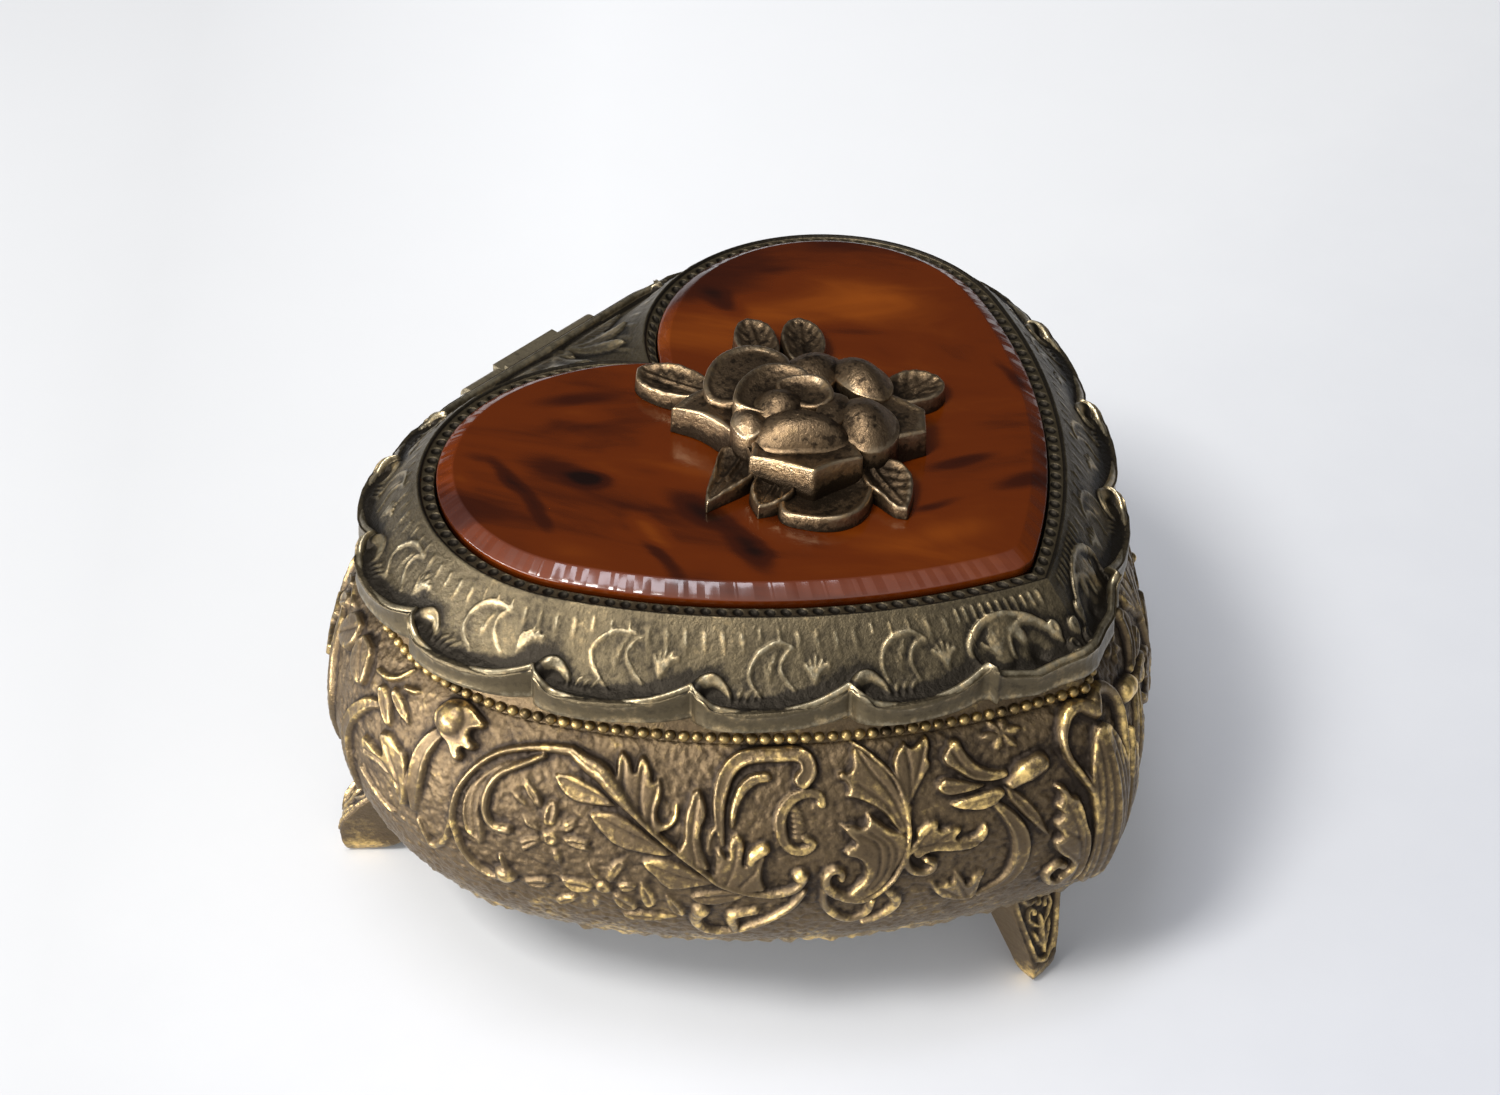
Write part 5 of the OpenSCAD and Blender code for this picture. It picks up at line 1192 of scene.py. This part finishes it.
def footPiece(name, place, turn, shape):
    r = footRelief()
    form = blur(r["h"], 0.9)
    # hollows of the face darker and crests lighter: patina and wear with painted shade and highlight
    hollow = blur(form, 1.0) - blur(form, 6.0)
    rough = roughen(form.shape, r["step"], 0.3, 0.03, 31) + roughen(form.shape, r["step"], 1.1, 0.03, 32)
    face, sole, widths = (np.array(points(text)).T for text in (shape["face"], shape["sole"], foot["halfWidths"]))
    n = foot["around"]
    rows, lists = [], {"relief": [], "patina_shade_and_shine": [], "gilt": []}
    heights = np.concatenate([[0, 0.03, 0.1, 0.22, 0.38], np.linspace(0.55, foot["top"], foot["levels"])])
    for z in heights:
        outer, inner, w = (np.interp(z, levels, values) for values, levels in (face, sole, widths))
        back = w * 0.82
        corner = [(outer, -w), (outer, w), (inner, back), (inner, -back), (outer, -w)]
        ends = [0, 0.42, 0.68, 0.82, 1.0]
        t = np.arange(n) / n
        ring = np.stack([np.interp(t, ends, [q[i] for q in corner]) for i in (0, 1)], -1)
        for k in range(foot["smoothing"]):
            ring = (np.roll(ring, 1, 0) + 2 * ring + np.roll(ring, -1, 0)) / 4
        onFace = np.clip(1 - np.abs(t - 0.21) / 0.215, 0, 1) ** 0.15 * (t < 0.42)
        i = np.clip(((ring[:, 1] - r["u"][0]) / r["step"]).round().astype(int), 0, len(r["u"]) - 1)
        j = int(np.clip(round((z - r["v"][0]) / r["step"]), 0, len(r["v"]) - 1))
        sunk = 0.3 * np.clip((z - 2.2) / 1.0, 0, 1) * (np.abs(ring[:, 1]) < w - 0.75)
        ring[:, 0] += (form[i, j] + rough[i, j] - sunk) * onFace
        rows.append(np.column_stack([ring, np.full(n, z)]))
        lists["relief"].append(np.clip(form[i, j] * onFace * 2, 0, 1))
        toe = math.exp(-((z - 1.2) / 1.3) ** 2)
        lists["patina_shade_and_shine"].append(hollow[i, j] * onFace * 1.2 + 0.12 * toe)
        lists["gilt"].append(np.where(onFace > 0.5, blur(r["gilt"], 2)[i, j], 0.2) + 0.8 * toe)
    grid = np.stack(rows, 1)
    a = math.radians(turn)
    x, y = grid[..., 0].copy(), grid[..., 1].copy()
    grid[..., 0] = place[0] + x * math.cos(a) - y * math.sin(a)
    grid[..., 1] = place[1] + x * math.sin(a) + y * math.cos(a)
    obj = gridMesh(name, grid, closedRows=True, attributes={k: np.stack(v, 1) for k, v in lists.items()})
    closeEnds(obj, lambda z: max(z) < 0.0005, lambda z: min(z) > 0.01)
    return obj


def footPieces():
    front, rear = foot["front"], foot["rear"]
    a = math.radians(rear["turn"])
    toe = (lobeX + (lobeR + rear["out"]) * math.cos(a), heartY + (lobeR + rear["out"]) * math.sin(a))
    tip = (0.0, float(heartY + tipY(base["footRing"])) - 0.2)
    return {
        "foot_front": footPiece("front_foot", tip, front["turn"], front),
        "foot_right": footPiece("right_foot", toe, rear["turn"], rear),
        "foot_left": footPiece("left_foot", (-toe[0], toe[1]), 180 - rear["turn"], rear),
    }


# Linings of velvet over card and padding
linings = {
    "floorZ": 17.34, "floorThick": 2.0, "wallThick": 0.9, "lidZ": 48.86, "lidThick": 2.6, "gap": 0.3,
}


# A pad with the heart's outline, pillowed on one side. Its profile is (share of the size, of the thickness)
def padPiece(name, out, bridged, low, high, upwards, seed):
    ring = heartRing(outlineSteps(90, 90, 34), out, bridged)
    middle = np.array([0.0, heartY - 4])
    thick = high - low
    rng = np.random.default_rng(seed)
    phase = rng.uniform(0, 6.28, 5)
    rows = []
    profile = [(1.0, 0.0), (1.0, 0.28), (0.997, 0.5), (0.988, 0.68), (0.97, 0.82), (0.945, 0.92), (0.91, 0.98)]
    profile += [(s, 1.0) for s in np.linspace(0.87, 0.02, 26)]
    angle = np.arctan2(ring[:, 1] - middle[1], ring[:, 0] - middle[0])
    for share, level in profile:
        p = middle + (ring - middle) * share
        pull = 0.05 * np.sin(angle * 23 + phase[0]) + 0.04 * np.sin(angle * 41 + phase[1])
        soft = 0.07 * np.sin(p[:, 0] * 0.31 + phase[2]) * np.sin(p[:, 1] * 0.27 + phase[3]) - 0.07
        pull *= (share > 0.85) * (level > 0.4) * (1 - share) * 8
        h = thick * level + (pull + soft * min(1, (1 - share) * 6)) * (level == 1.0)
        z = low + h if upwards else high - h
        rows.append(np.column_stack([p, np.broadcast_to(z, len(p))]))
    obj = gridMesh(name, np.stack(rows, 1), closedRows=True)
    flat = (low if upwards else high) * mm
    closeEnds(obj, lambda z: max(abs(height - flat) for height in z) < 1e-6, lambda z: True)
    return obj


# Velvet round the inside, softly padded over card
def wallLining(name):
    out = neckOut - base["wall"] - linings["gap"]
    low, high = linings["floorZ"] + linings["floorThick"] + 0.02, seamZ - 1.2
    u = outlineSteps(170, 150, 60)
    u = np.concatenate([u, 2 * halfLength - u[-2:0:-1]])
    half = np.minimum(u, 2 * halfLength - u)
    inner = out - linings["wallThick"]
    section = [(out, low), (out, high - 0.3), (out - 0.12, high - 0.08), (out - 0.4, high),
               (inner + 0.18, high - 0.05), (inner + 0.03, high - 0.3)]
    section += [(inner, z) for z in np.linspace(high - 0.6, low + 0.3, 34)] + [(inner + 0.2, low)]
    rows = []
    for k, (o, z) in enumerate(section):
        puff = 0.0
        if 5 < k < len(section) - 1:
            t = (z - low) / (high - low)
            puff = -0.16 * math.sin(math.pi * t) ** 0.6 * (0.75 + 0.25 * np.sin(u * 0.9))
            puff += 0.05 * np.sin(u * 2.1 + z * 0.6)
        x, y = outline(half, np.full_like(u, o) + puff)
        rows.append(np.stack([np.where(u > halfLength, -x, x), y, np.full_like(x, z)], -1))
    return gridMesh(name, np.stack(rows, 1), closedRows=True, closedColumns=True)


# Materials
def newMaterial(name):
    material = bpy.data.materials.new(name)
    material.use_nodes = True
    tree = material.node_tree
    tree.nodes.clear()
    out = tree.nodes.new("ShaderNodeOutputMaterial")
    shader = tree.nodes.new("ShaderNodeBsdfPrincipled")
    tree.links.new(shader.outputs[0], out.inputs[0])
    return material, tree, shader


# Puts a value on a socket, or links another node's output to it
def feed(tree, socket, value):
    if isinstance(value, bpy.types.NodeSocket):
        tree.links.new(value, socket)
    elif isinstance(value, tuple) and socket.type == "RGBA":
        socket.default_value = (*value, 1)
    elif value is not None:
        socket.default_value = value


# Feeds a node's sockets, named with _ for a space
def feedAll(tree, node, values):
    for label, value in values.items():
        feed(tree, node.inputs[label.replace("_", " ")], value)
    return node


def noiseNode(tree, scale, detail=4, rough=0.55, coords=None):
    node = tree.nodes.new("ShaderNodeTexNoise")
    if coords is None:
        coords = tree.nodes.new("ShaderNodeTexCoord").outputs["Object"]
    return feedAll(tree, node, {"Scale": scale, "Detail": detail, "Roughness": rough, "Vector": coords})


def ramp(tree, source, stops, interpolation="EASE"):
    node = tree.nodes.new("ShaderNodeValToRGB")
    node.color_ramp.interpolation = interpolation
    els = node.color_ramp.elements
    while len(els) < len(stops):
        els.new(0.5)
    for el, (pos, colour) in zip(els, stops):
        el.position = pos
        el.color = (*colour, 1) if len(colour) == 3 else colour
    tree.links.new(source, node.inputs["Fac"])
    return node


def mathNode(tree, operation, *values, clamp=False):
    node = tree.nodes.new("ShaderNodeMath")
    node.operation = operation
    node.use_clamp = clamp
    for socket, value in zip(node.inputs, values):
        feed(tree, socket, value)
    return node.outputs[0]


def vectorNode(tree, operation, *values):
    node = tree.nodes.new("ShaderNodeVectorMath")
    node.operation = operation
    for socket, value in zip(node.inputs, values):
        feed(tree, socket, value)
    return node.outputs["Value" if operation in ("DOT_PRODUCT", "LENGTH") else "Vector"]


def bumpNode(tree, height, distance, strength):
    node = tree.nodes.new("ShaderNodeBump")
    return feedAll(tree, node, {"Height": height, "Distance": distance, "Strength": strength}).outputs[0]


def attribute(tree, name):
    node = tree.nodes.new("ShaderNodeAttribute")
    node.attribute_name = name
    return node.outputs["Fac"]


def mixColour(tree, factor, a, b, blend="MIX"):
    node = tree.nodes.new("ShaderNodeMix")
    node.data_type = "RGBA"
    node.blend_type = blend
    return feedAll(tree, node, {"Factor": factor, "A": a, "B": b}).outputs["Result"]


# Looks of the castings: dark recess (patina and painted shade), body of the patina, lighter wear with painted
# highlight, and gilding; how much of the gilding is left, how speckled the patina is, how metallic, and the
# roughness in hollows and on crests
castLooks = {
    "base": {
        "dark": (0.030, 0.021, 0.014), "mid": (0.105, 0.072, 0.038), "wornShine": (0.19, 0.135, 0.068),
        "gilt": (0.85, 0.59, 0.21), "giltShare": 0.6, "speckle": 0.04, "metal": 0.85, "rough": (0.56, 0.28),
    },
    "lid": {
        "dark": (0.018, 0.014, 0.009), "mid": (0.088, 0.068, 0.038), "wornShine": (0.32, 0.27, 0.175),
        "gilt": (0.46, 0.33, 0.16), "giltShare": 0.7, "speckle": 0.05, "metal": 0.85, "rough": (0.5, 0.28),
    },
    "rose": {
        "dark": (0.036, 0.024, 0.014), "mid": (0.155, 0.103, 0.057), "wornShine": (0.30, 0.22, 0.133),
        "gilt": (0.42, 0.275, 0.13), "giltShare": 0.5, "speckle": 0.34, "metal": 0.95, "rough": (0.46, 0.3),
    },
    "hinge": {
        "dark": (0.03, 0.025, 0.018), "mid": (0.17, 0.14, 0.088), "wornShine": (0.28, 0.23, 0.15),
        "gilt": (0.5, 0.4, 0.2), "giltShare": 0.0, "speckle": 0.1, "metal": 0.7, "rough": (0.55, 0.4),
    },
}
castGrain = {"Fineness": 2300.0, "Depth": 0.00016}


# A node group with the given inputs and outputs, and its input and output nodes
def newGroup(name, inputs, outputs):
    group = bpy.data.node_groups.new(name, "ShaderNodeTree")
    for label, kind, value in inputs:
        socket = group.interface.new_socket(label, in_out="INPUT", socket_type=kind)
        if value is not None:
            socket.default_value = (*value, 1) if isinstance(value, tuple) else value
    for label, kind in outputs:
        group.interface.new_socket(label, in_out="OUTPUT", socket_type=kind)
    return group, group.nodes.new("NodeGroupInput"), group.nodes.new("NodeGroupOutput")


def spread(tree, source, middle, gain):
    return mathNode(tree, "MULTIPLY", mathNode(tree, "SUBTRACT", source, middle), gain)


# Patina: dark in hollows (patina and painted shade), worn on crests (wear and painted highlight), with
# gilding left in patches that shows only on crests, partly a painted glint
def patinaAndPaintedLightGroup():
    value, colour = "NodeSocketFloat", "NodeSocketColor"
    group, inp, out = newGroup("patinaAndPaintedLight", [
        ("Cavity", value, 0.0), ("Gilt", value, 0.0), ("Gilt share", value, 0.5), ("Speckle", value, 0.1),
        ("Dark", colour, (0, 0, 0)), ("Middle", colour, (0.1, 0.1, 0.1)), ("Worn", colour, (0.3, 0.3, 0.3)),
        ("Gold", colour, (0.5, 0.3, 0.1)),
    ], [("Colour", colour), ("Gold mask", value), ("Crest", value)])
    blotch = noiseNode(group, 190, 5, 0.62).outputs[0]
    fine = noiseNode(group, 1500, 3, 0.65).outputs[0]
    wide = noiseNode(group, 45, 3, 0.5).outputs[0]
    crest = mathNode(group, "ADD", mathNode(group, "MULTIPLY", inp.outputs["Cavity"], 2.4), 0.5)
    crest = mathNode(group, "ADD", crest, spread(group, blotch, 0.5, 0.5))
    spots = mathNode(group, "SUBTRACT", noiseNode(group, 1050, 3, 0.6).outputs[0], 0.5)
    spots = mathNode(group, "MULTIPLY", spots, 5.0, clamp=True)
    crest = mathNode(group, "SUBTRACT", crest, mathNode(group, "MULTIPLY", spots, inp.outputs["Speckle"]))
    crest = mathNode(group, "ADD", crest, spread(group, fine, 0.5, 0.45))
    low = ramp(group, crest, [(0.2, (0, 0, 0)), (0.52, (1, 1, 1))]).outputs["Color"]
    high = ramp(group, crest, [(0.58, (0, 0, 0)), (0.95, (1, 1, 1))]).outputs["Color"]
    body = mixColour(group, low, inp.outputs["Dark"], inp.outputs["Middle"])
    coat = mixColour(group, high, body, inp.outputs["Worn"])
    mask = mathNode(group, "MULTIPLY", inp.outputs["Gilt"], inp.outputs["Gilt share"])
    mask = mathNode(group, "ADD", mask, spread(group, blotch, 0.57, 2.8))
    mask = mathNode(group, "ADD", mask, spread(group, wide, 0.5, 2.0))
    flecks = noiseNode(group, 1100, 3, 0.6).outputs[0]
    mask = mathNode(group, "ADD", mask, spread(group, flecks, 0.5, 3.4), clamp=True)
    raised = mathNode(group, "MULTIPLY", mathNode(group, "SUBTRACT", crest, 0.5), 2.4, clamp=True)
    mask = mathNode(group, "MULTIPLY", mask, raised)
    coat = mixColour(group, mask, coat, inp.outputs["Gold"])
    feedAll(group, out, {"Colour": coat, "Gold mask": mask, "Crest": crest})
    return group


# Fine grain of a surface, as a normal
def grainGroup():
    value = "NodeSocketFloat"
    inputs = [("Fineness", value, 2600.0), ("Depth", value, 0.0001), ("Strength", value, 0.5)]
    group, inp, out = newGroup("grain", inputs, [("Normal", "NodeSocketVector")])
    noise = noiseNode(group, inp.outputs["Fineness"], 4, 0.65)
    normal = bumpNode(group, noise.outputs[0], inp.outputs["Depth"], inp.outputs["Strength"])
    group.links.new(normal, out.inputs["Normal"])
    return group


patinaAndPaintedLight, grain = patinaAndPaintedLightGroup(), grainGroup()


def useGroup(tree, group, **values):
    node = tree.nodes.new("ShaderNodeGroup")
    node.node_tree = group
    return feedAll(tree, node, values)


def castMaterial(name, look):
    material, tree, shader = newMaterial(name)
    coat = useGroup(tree, patinaAndPaintedLight, Cavity=attribute(tree, "patina_shade_and_shine"), Gilt=attribute(tree, "gilt"),
                    Gilt_share=look["giltShare"], Speckle=look["speckle"], Dark=look["dark"], Middle=look["mid"],
                    Worn=look["wornShine"], Gold=look["gilt"])
    hollow, crest = look["rough"]
    rough = ramp(tree, coat.outputs["Crest"], [(0.2, (hollow,) * 3), (0.9, (crest,) * 3)])
    ground = mathNode(tree, "SUBTRACT", 0.75, mathNode(tree, "MULTIPLY", attribute(tree, "relief"), 0.5), clamp=True)
    normal = useGroup(tree, grain, **castGrain, Strength=ground).outputs[0]
    feedAll(tree, shader, {"Base Color": coat.outputs["Colour"], "Metallic": look["metal"],
                           "Roughness": rough.outputs["Color"], "Normal": normal})
    return material


# Marks in the plastic: "x y half-length half-width direction strength"
amberMarks = {
    "dark": (
            "-20.4 12.8 3.6 2.4 -60 1.0, -21.1 16.3 7 3.4 -76 0.7, -26 18.5 6 1.4 -109 0.7, "
            "-27.9 12.9 6 1.2 -116 0.6, -25.3 23.2 4 1.4 -69 0.5, -16.9 1 6.5 2.6 -92 0.9, "
            "-18.6 -6.7 7 2.6 -113 0.9, -25.4 -1.4 5.5 1.3 -107 0.7, -12.5 -7.6 8 3.4 -95 0.6, "
            "-0.3 -16.9 7 1.2 -29 0.7, 12.7 24.1 5.5 2.2 -100 0.8, 17.1 10.1 10 1.6 -52 0.4, "
            "22.4 -9 6 1.3 -118 0.5, -12.5 23.4 7 1.4 -44 0.5, 7.7 -14.8 6 1.3 -32 0.6, -15.5 9.5 6 1.8 -68 0.5, "
            "10 -22 7 2 -35 0.5"),
    # lighter marbling; the two large marks on the right lobe also stand in for a painted reflection
    "light": (
            "-13.3 21 5 1.5 -56 0.6, -22.7 2.8 5 2.0 -105 1.0, -30.4 5.7 6 2.2 -69 0.6, 23.8 14.2 20 13 -59 1.2, "
            "12 20 11 7 -40 0.6, -3 -20.2 8 2.2 -34 0.4, -29.3 21.9 4 1.4 -111 0.4, 11.7 -10.9 6 2.5 -59 0.1"),
}


# A soft elongated mark, 1 in its middle
def smearGroup():
    value, vector = "NodeSocketFloat", "NodeSocketVector"
    inputs = [(label, vector, None) for label in ("Place", "Middle", "Turn", "Size")]
    group, inp, out = newGroup("smear", [*inputs, ("Strength", value, 1.0)], [("Mark", value)])
    shift = vectorNode(group, "SUBTRACT", inp.outputs["Place"], inp.outputs["Middle"])
    turn = group.nodes.new("ShaderNodeVectorRotate")
    turn.rotation_type = "EULER_XYZ"
    feedAll(group, turn, {"Vector": shift, "Rotation": inp.outputs["Turn"]})
    reach = vectorNode(group, "LENGTH", vectorNode(group, "DIVIDE", turn.outputs[0], inp.outputs["Size"]))
    fall = ramp(group, reach, [(0.0, (1, 1, 1)), (1.0, (0, 0, 0))])
    group.links.new(mathNode(group, "MULTIPLY", fall.outputs["Color"], inp.outputs["Strength"]), out.inputs["Mark"])
    return group


amberLook = {
    "flowTurn": -58, "flowStretch": (2.6, 0.85, 1.0),     # direction in degrees and stretch of the marbling
    "marks": {"dark": -0.16, "light": 0.13},              # how much the marks darken and lighten
    "colours": [(0.31, (0.006, 0.0016, 0.0006)), (0.41, (0.028, 0.0045, 0.0005)), (0.51, (0.082, 0.0135, 0.0005)),
                (0.72, (0.21, 0.048, 0.003))],
    "rough": 0.16, "coat": 0.12, "coatRough": 0.03,
    "cutDepth": 0.00026,                                  # depth of the bevel's cutting marks in metres
}


def amberMaterial():
    material, tree, shader = newMaterial("amber_plastic")
    coords = tree.nodes.new("ShaderNodeTexCoord").outputs["Object"]
    turn = tree.nodes.new("ShaderNodeMapping")
    turn.vector_type = "TEXTURE"
    feedAll(tree, turn, {"Rotation": (0, 0, math.radians(amberLook["flowTurn"])), "Scale": amberLook["flowStretch"],
                         "Vector": coords})
    warp = noiseNode(tree, 34, 3, 0.5, turn.outputs[0])

    def pushed(source, amount):
        centred = vectorNode(tree, "SUBTRACT", warp.outputs["Color"], (0.5, 0.5, 0.5))
        return vectorNode(tree, "MULTIPLY_ADD", centred, (amount, amount, 0.0), source)

    cloud = pushed(turn.outputs[0], 0.03)
    swirl = spread(tree, noiseNode(tree, 60, 5, 0.5, cloud).outputs[0], -0.26, 0.5)
    streak = spread(tree, noiseNode(tree, 170, 4, 0.55, cloud).outputs[0], 0.0, 0.2)
    mixed = mathNode(tree, "ADD", swirl, streak)
    smear = smearGroup()
    place = pushed(coords, 0.008)
    for kind, share in amberLook["marks"].items():
        for x, y, length, width, angle, strength in points(amberMarks[kind]):
            mark = useGroup(tree, smear, Place=place, Middle=(x * mm, y * mm, insetTop * mm),
                            Turn=(0, 0, math.radians(-angle)), Size=(length * mm, width * mm, 1.0),
                            Strength=share * strength)
            mixed = mathNode(tree, "ADD", mixed, mark.outputs["Mark"])
    colour = ramp(tree, mixed, amberLook["colours"]).outputs["Color"]
    # cutting marks across the bevel
    cuts = tree.nodes.new("ShaderNodeTexNoise")
    cuts.noise_dimensions = "1D"
    feedAll(tree, cuts, {"W": attribute(tree, "along"), "Scale": 0.15, "Detail": 2})
    panes = tree.nodes.new("ShaderNodeTexVoronoi")
    panes.voronoi_dimensions = "1D"
    feedAll(tree, panes, {"W": attribute(tree, "along"), "Scale": 0.45})
    height = mathNode(tree, "ADD", cuts.outputs[0], mathNode(tree, "MULTIPLY", panes.outputs["Distance"], 0.3))
    normal = bumpNode(tree, height, amberLook["cutDepth"], attribute(tree, "bevel"))
    feedAll(tree, shader, {"Base Color": colour, "Roughness": amberLook["rough"], "IOR": 1.5,
                           "Coat Weight": amberLook["coat"], "Coat Roughness": amberLook["coatRough"],
                           "Normal": normal, "Coat Normal": normal})
    return material


def simpleMaterial(name, low, high, scale, roughness, metallic=0.0, bumpSize=0.0, sheen=0.0):
    material, tree, shader = newMaterial(name)
    colour = ramp(tree, noiseNode(tree, scale, 5, 0.6).outputs[0], [(0.3, low), (0.7, high)]).outputs["Color"]
    feedAll(tree, shader, {"Base Color": colour, "Roughness": roughness, "Metallic": metallic, "Sheen Weight": sheen})
    if bumpSize:
        normal = bumpNode(tree, noiseNode(tree, scale * 6, 3, 0.6).outputs[0], bumpSize, 0.6)
        tree.links.new(normal, shader.inputs["Normal"])
    return material


baseMetal = castMaterial("base_metal", castLooks["base"])
lidMetal = castMaterial("lid_metal", castLooks["lid"])
roseMetal = castMaterial("rose_metal", castLooks["rose"])
hingeMetal = castMaterial("hinge_metal", castLooks["hinge"])
beadMetal = simpleMaterial("bead_metal", (0.05, 0.034, 0.018), (0.42, 0.29, 0.11), 330, 0.4, 0.9, 0.00008)
amber = amberMaterial()
steel = simpleMaterial("sheet_steel", (0.32, 0.31, 0.28), (0.46, 0.45, 0.42), 300, 0.42, 0.9)
velvet = simpleMaterial("velvet", (0.13, 0.0035, 0.009), (0.24, 0.009, 0.018), 900, 0.9, 0.0, 0.0003, 0.12)


def dress(obj, body, material=None, nodes=()):
    if material:
        obj.data.materials.clear()
        obj.data.materials.append(material)
    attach(obj, body)
    if nodes:
        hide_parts(*nodes)


for piece in wallPieces():
    dress(piece, "base", baseMetal, ["base_shell"])
print("base casting made")
beads = beadRow("base_beads", neckOut + 0.42, (mouldingZ + mouldingTop) / 2 + 0.05, 1, beadMetal)
dress(beads, "base")
for piece in lidPieces():
    dress(piece, "lid", lidMetal, ["lid_frame"])
print("lid casting made")
dress(insetPiece(), "lid", amber, ["inset_panel"])
dress(rosePiece(), "lid", roseMetal, ["rose_ornament"])
print("rose and inset made")
for node, piece in footPieces().items():
    dress(piece, "base", baseMetal, [node])
print("feet made")
inside = neckOut - base["wall"] - linings["gap"]
floorPad = padPiece("floor_pad", inside, 1, linings["floorZ"], linings["floorZ"] + linings["floorThick"], True, 5)
lidPad = padPiece("lid_pad", -2 * linings["gap"], 0, linings["lidZ"], linings["lidZ"] + linings["lidThick"], False, 6)
wallVelvet = wallLining("wall_velvet")
for piece, body, node, fill in ((floorPad, "base", "floor_lining", 0.5), (wallVelvet, "base", "wall_lining", 0.3),
                                (lidPad, "lid", "lid_lining", 0.5)):
    dress(piece, body, velvet, [node])
print("linings made")

nodeLooks = {
    "bottom_plate": steel, "foot_rivets": steel, "base_knuckles": hingeMetal, "hinge_pin": steel,
    "lid_knuckle": hingeMetal, "lid_plate": steel, "rose_stud": steel, "rose_washer": steel, "rose_nut": steel,
}
for node, material in nodeLooks.items():
    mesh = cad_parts[node].data
    mesh.materials.clear()
    mesh.materials.append(material)


# Stage, light, camera
stage = {
    # place, height aimed at, width and height, power, colour
    "lamps": {
        "window": ((-0.47, 0.02, 0.67), 0.03, (0.17, 0.2), 5.4, (1.0, 0.985, 0.96)),
        "sky": ((-0.17, 0.02, 0.82), 0.03, (0.12, 0.34), 1.3, (0.88, 0.9, 1.0)),
        "front": ((-0.47, 0.07, 0.034), 0.02, (0.3, 0.062), 2.6, (1.0, 0.98, 0.95)),
        "side": ((-0.45, 0.33, 0.036), 0.03, (0.3, 0.068), 2.6, (0.97, 0.98, 1.0)),
    },
    "floorHalf": 6.0, "shadeAlong": (0.0, -1.0, 0.0), "windowSide": (-7.1, 7.1, 0.0),
    "brightSide": (-0.80, -0.14, 0.585), "roomStrength": 1.12,
    "cameraAt": (-196.3, -160.34, 247.2), "lens": 72.0,
    "right": (0.66163, -0.74962, 0.01788), "up": (0.46374, 0.42781, 0.77584),
}


def makeStage():
    mesh = bpy.data.meshes.new("floor")
    corners = [(x * stage["floorHalf"], y * stage["floorHalf"], 0) for x, y in ((-1, -1), (1, -1), (1, 1), (-1, 1))]
    mesh.from_pydata(corners, [], [(0, 1, 2, 3)])
    floor = addObject("floor", mesh)
    material, tree, shader = newMaterial("paperPaintedShade")
    # painted shade: the paper's colour darkens away from the window
    coords = tree.nodes.new("ShaderNodeTexCoord").outputs["Object"]
    across = vectorNode(tree, "DOT_PRODUCT", coords, stage["shadeAlong"])
    fibre = noiseNode(tree, 60, 4, 0.6)
    tone = mathNode(tree, "ADD", across, spread(tree, fibre.outputs[0], 0.5, 0.03))
    tone = mathNode(tree, "MULTIPLY_ADD", tone, 2.0, 0.5)
    paperPaintedShade = ramp(tree, tone, [(0.12, (0.77, 0.775, 0.78)), (0.40, (0.69, 0.695, 0.70)), (0.66, (0.53, 0.54, 0.57))],
                 "LINEAR").outputs["Color"]
    # painted shade: the paper is dimmed on the window side, where the lamps light it most
    near = vectorNode(tree, "DOT_PRODUCT", coords, stage["windowSide"])
    paintedWindowDimming = ramp(tree, near, [(0.2, (1, 1, 1)), (0.85, (0.795, 0.795, 0.795))], "LINEAR").outputs["Color"]
    feedAll(tree, shader, {"Base Color": mixColour(tree, 1.0, paperPaintedShade, paintedWindowDimming, "MULTIPLY"), "Roughness": 0.9})
    mesh.materials.append(material)
    world = bpy.data.worlds.new("room")
    bpy.context.scene.world = world
    world.use_nodes = True
    room = world.node_tree
    # bright towards the window side, dim behind the box
    view = room.nodes.new("ShaderNodeTexCoord").outputs["Generated"]
    facing = vectorNode(room, "DOT_PRODUCT", view, stage["brightSide"])
    shade = ramp(room, mathNode(room, "MULTIPLY_ADD", facing, 0.5, 0.5),
                 [(0.42, (0.05, 0.05, 0.056)), (0.66, (0.32, 0.335, 0.37)), (0.9, (0.98, 0.99, 1.0))])
    feedAll(room, room.nodes["Background"], {"Color": shade.outputs["Color"], "Strength": stage["roomStrength"]})

    for name, (at, aim, size, power, colour) in stage["lamps"].items():
        light = bpy.data.lights.new(name, "AREA")
        light.shape = "RECTANGLE"
        light.size, light.size_y = size
        light.energy = power
        light.color = colour
        lamp = addObject(name, light)
        lamp.location = at
        lamp.rotation_euler = (Vector((0, 0, aim)) - Vector(at)).to_track_quat("-Z", "Y").to_euler()

    camera = bpy.data.cameras.new("camera")
    camera.lens = stage["lens"]
    camera.sensor_width = 36
    camera.clip_start = 0.01
    obj = addObject("camera", camera)
    right, up = Vector(stage["right"]), Vector(stage["up"])
    back = right.cross(up)
    turned = Matrix((right, up, back)).transposed().to_4x4()
    turned.translation = Vector(stage["cameraAt"]) * mm
    obj.matrix_world = turned
    bpy.context.scene.camera = obj
    bpy.context.scene.view_settings.view_transform = "Standard"


makeStage()
print("stage set")
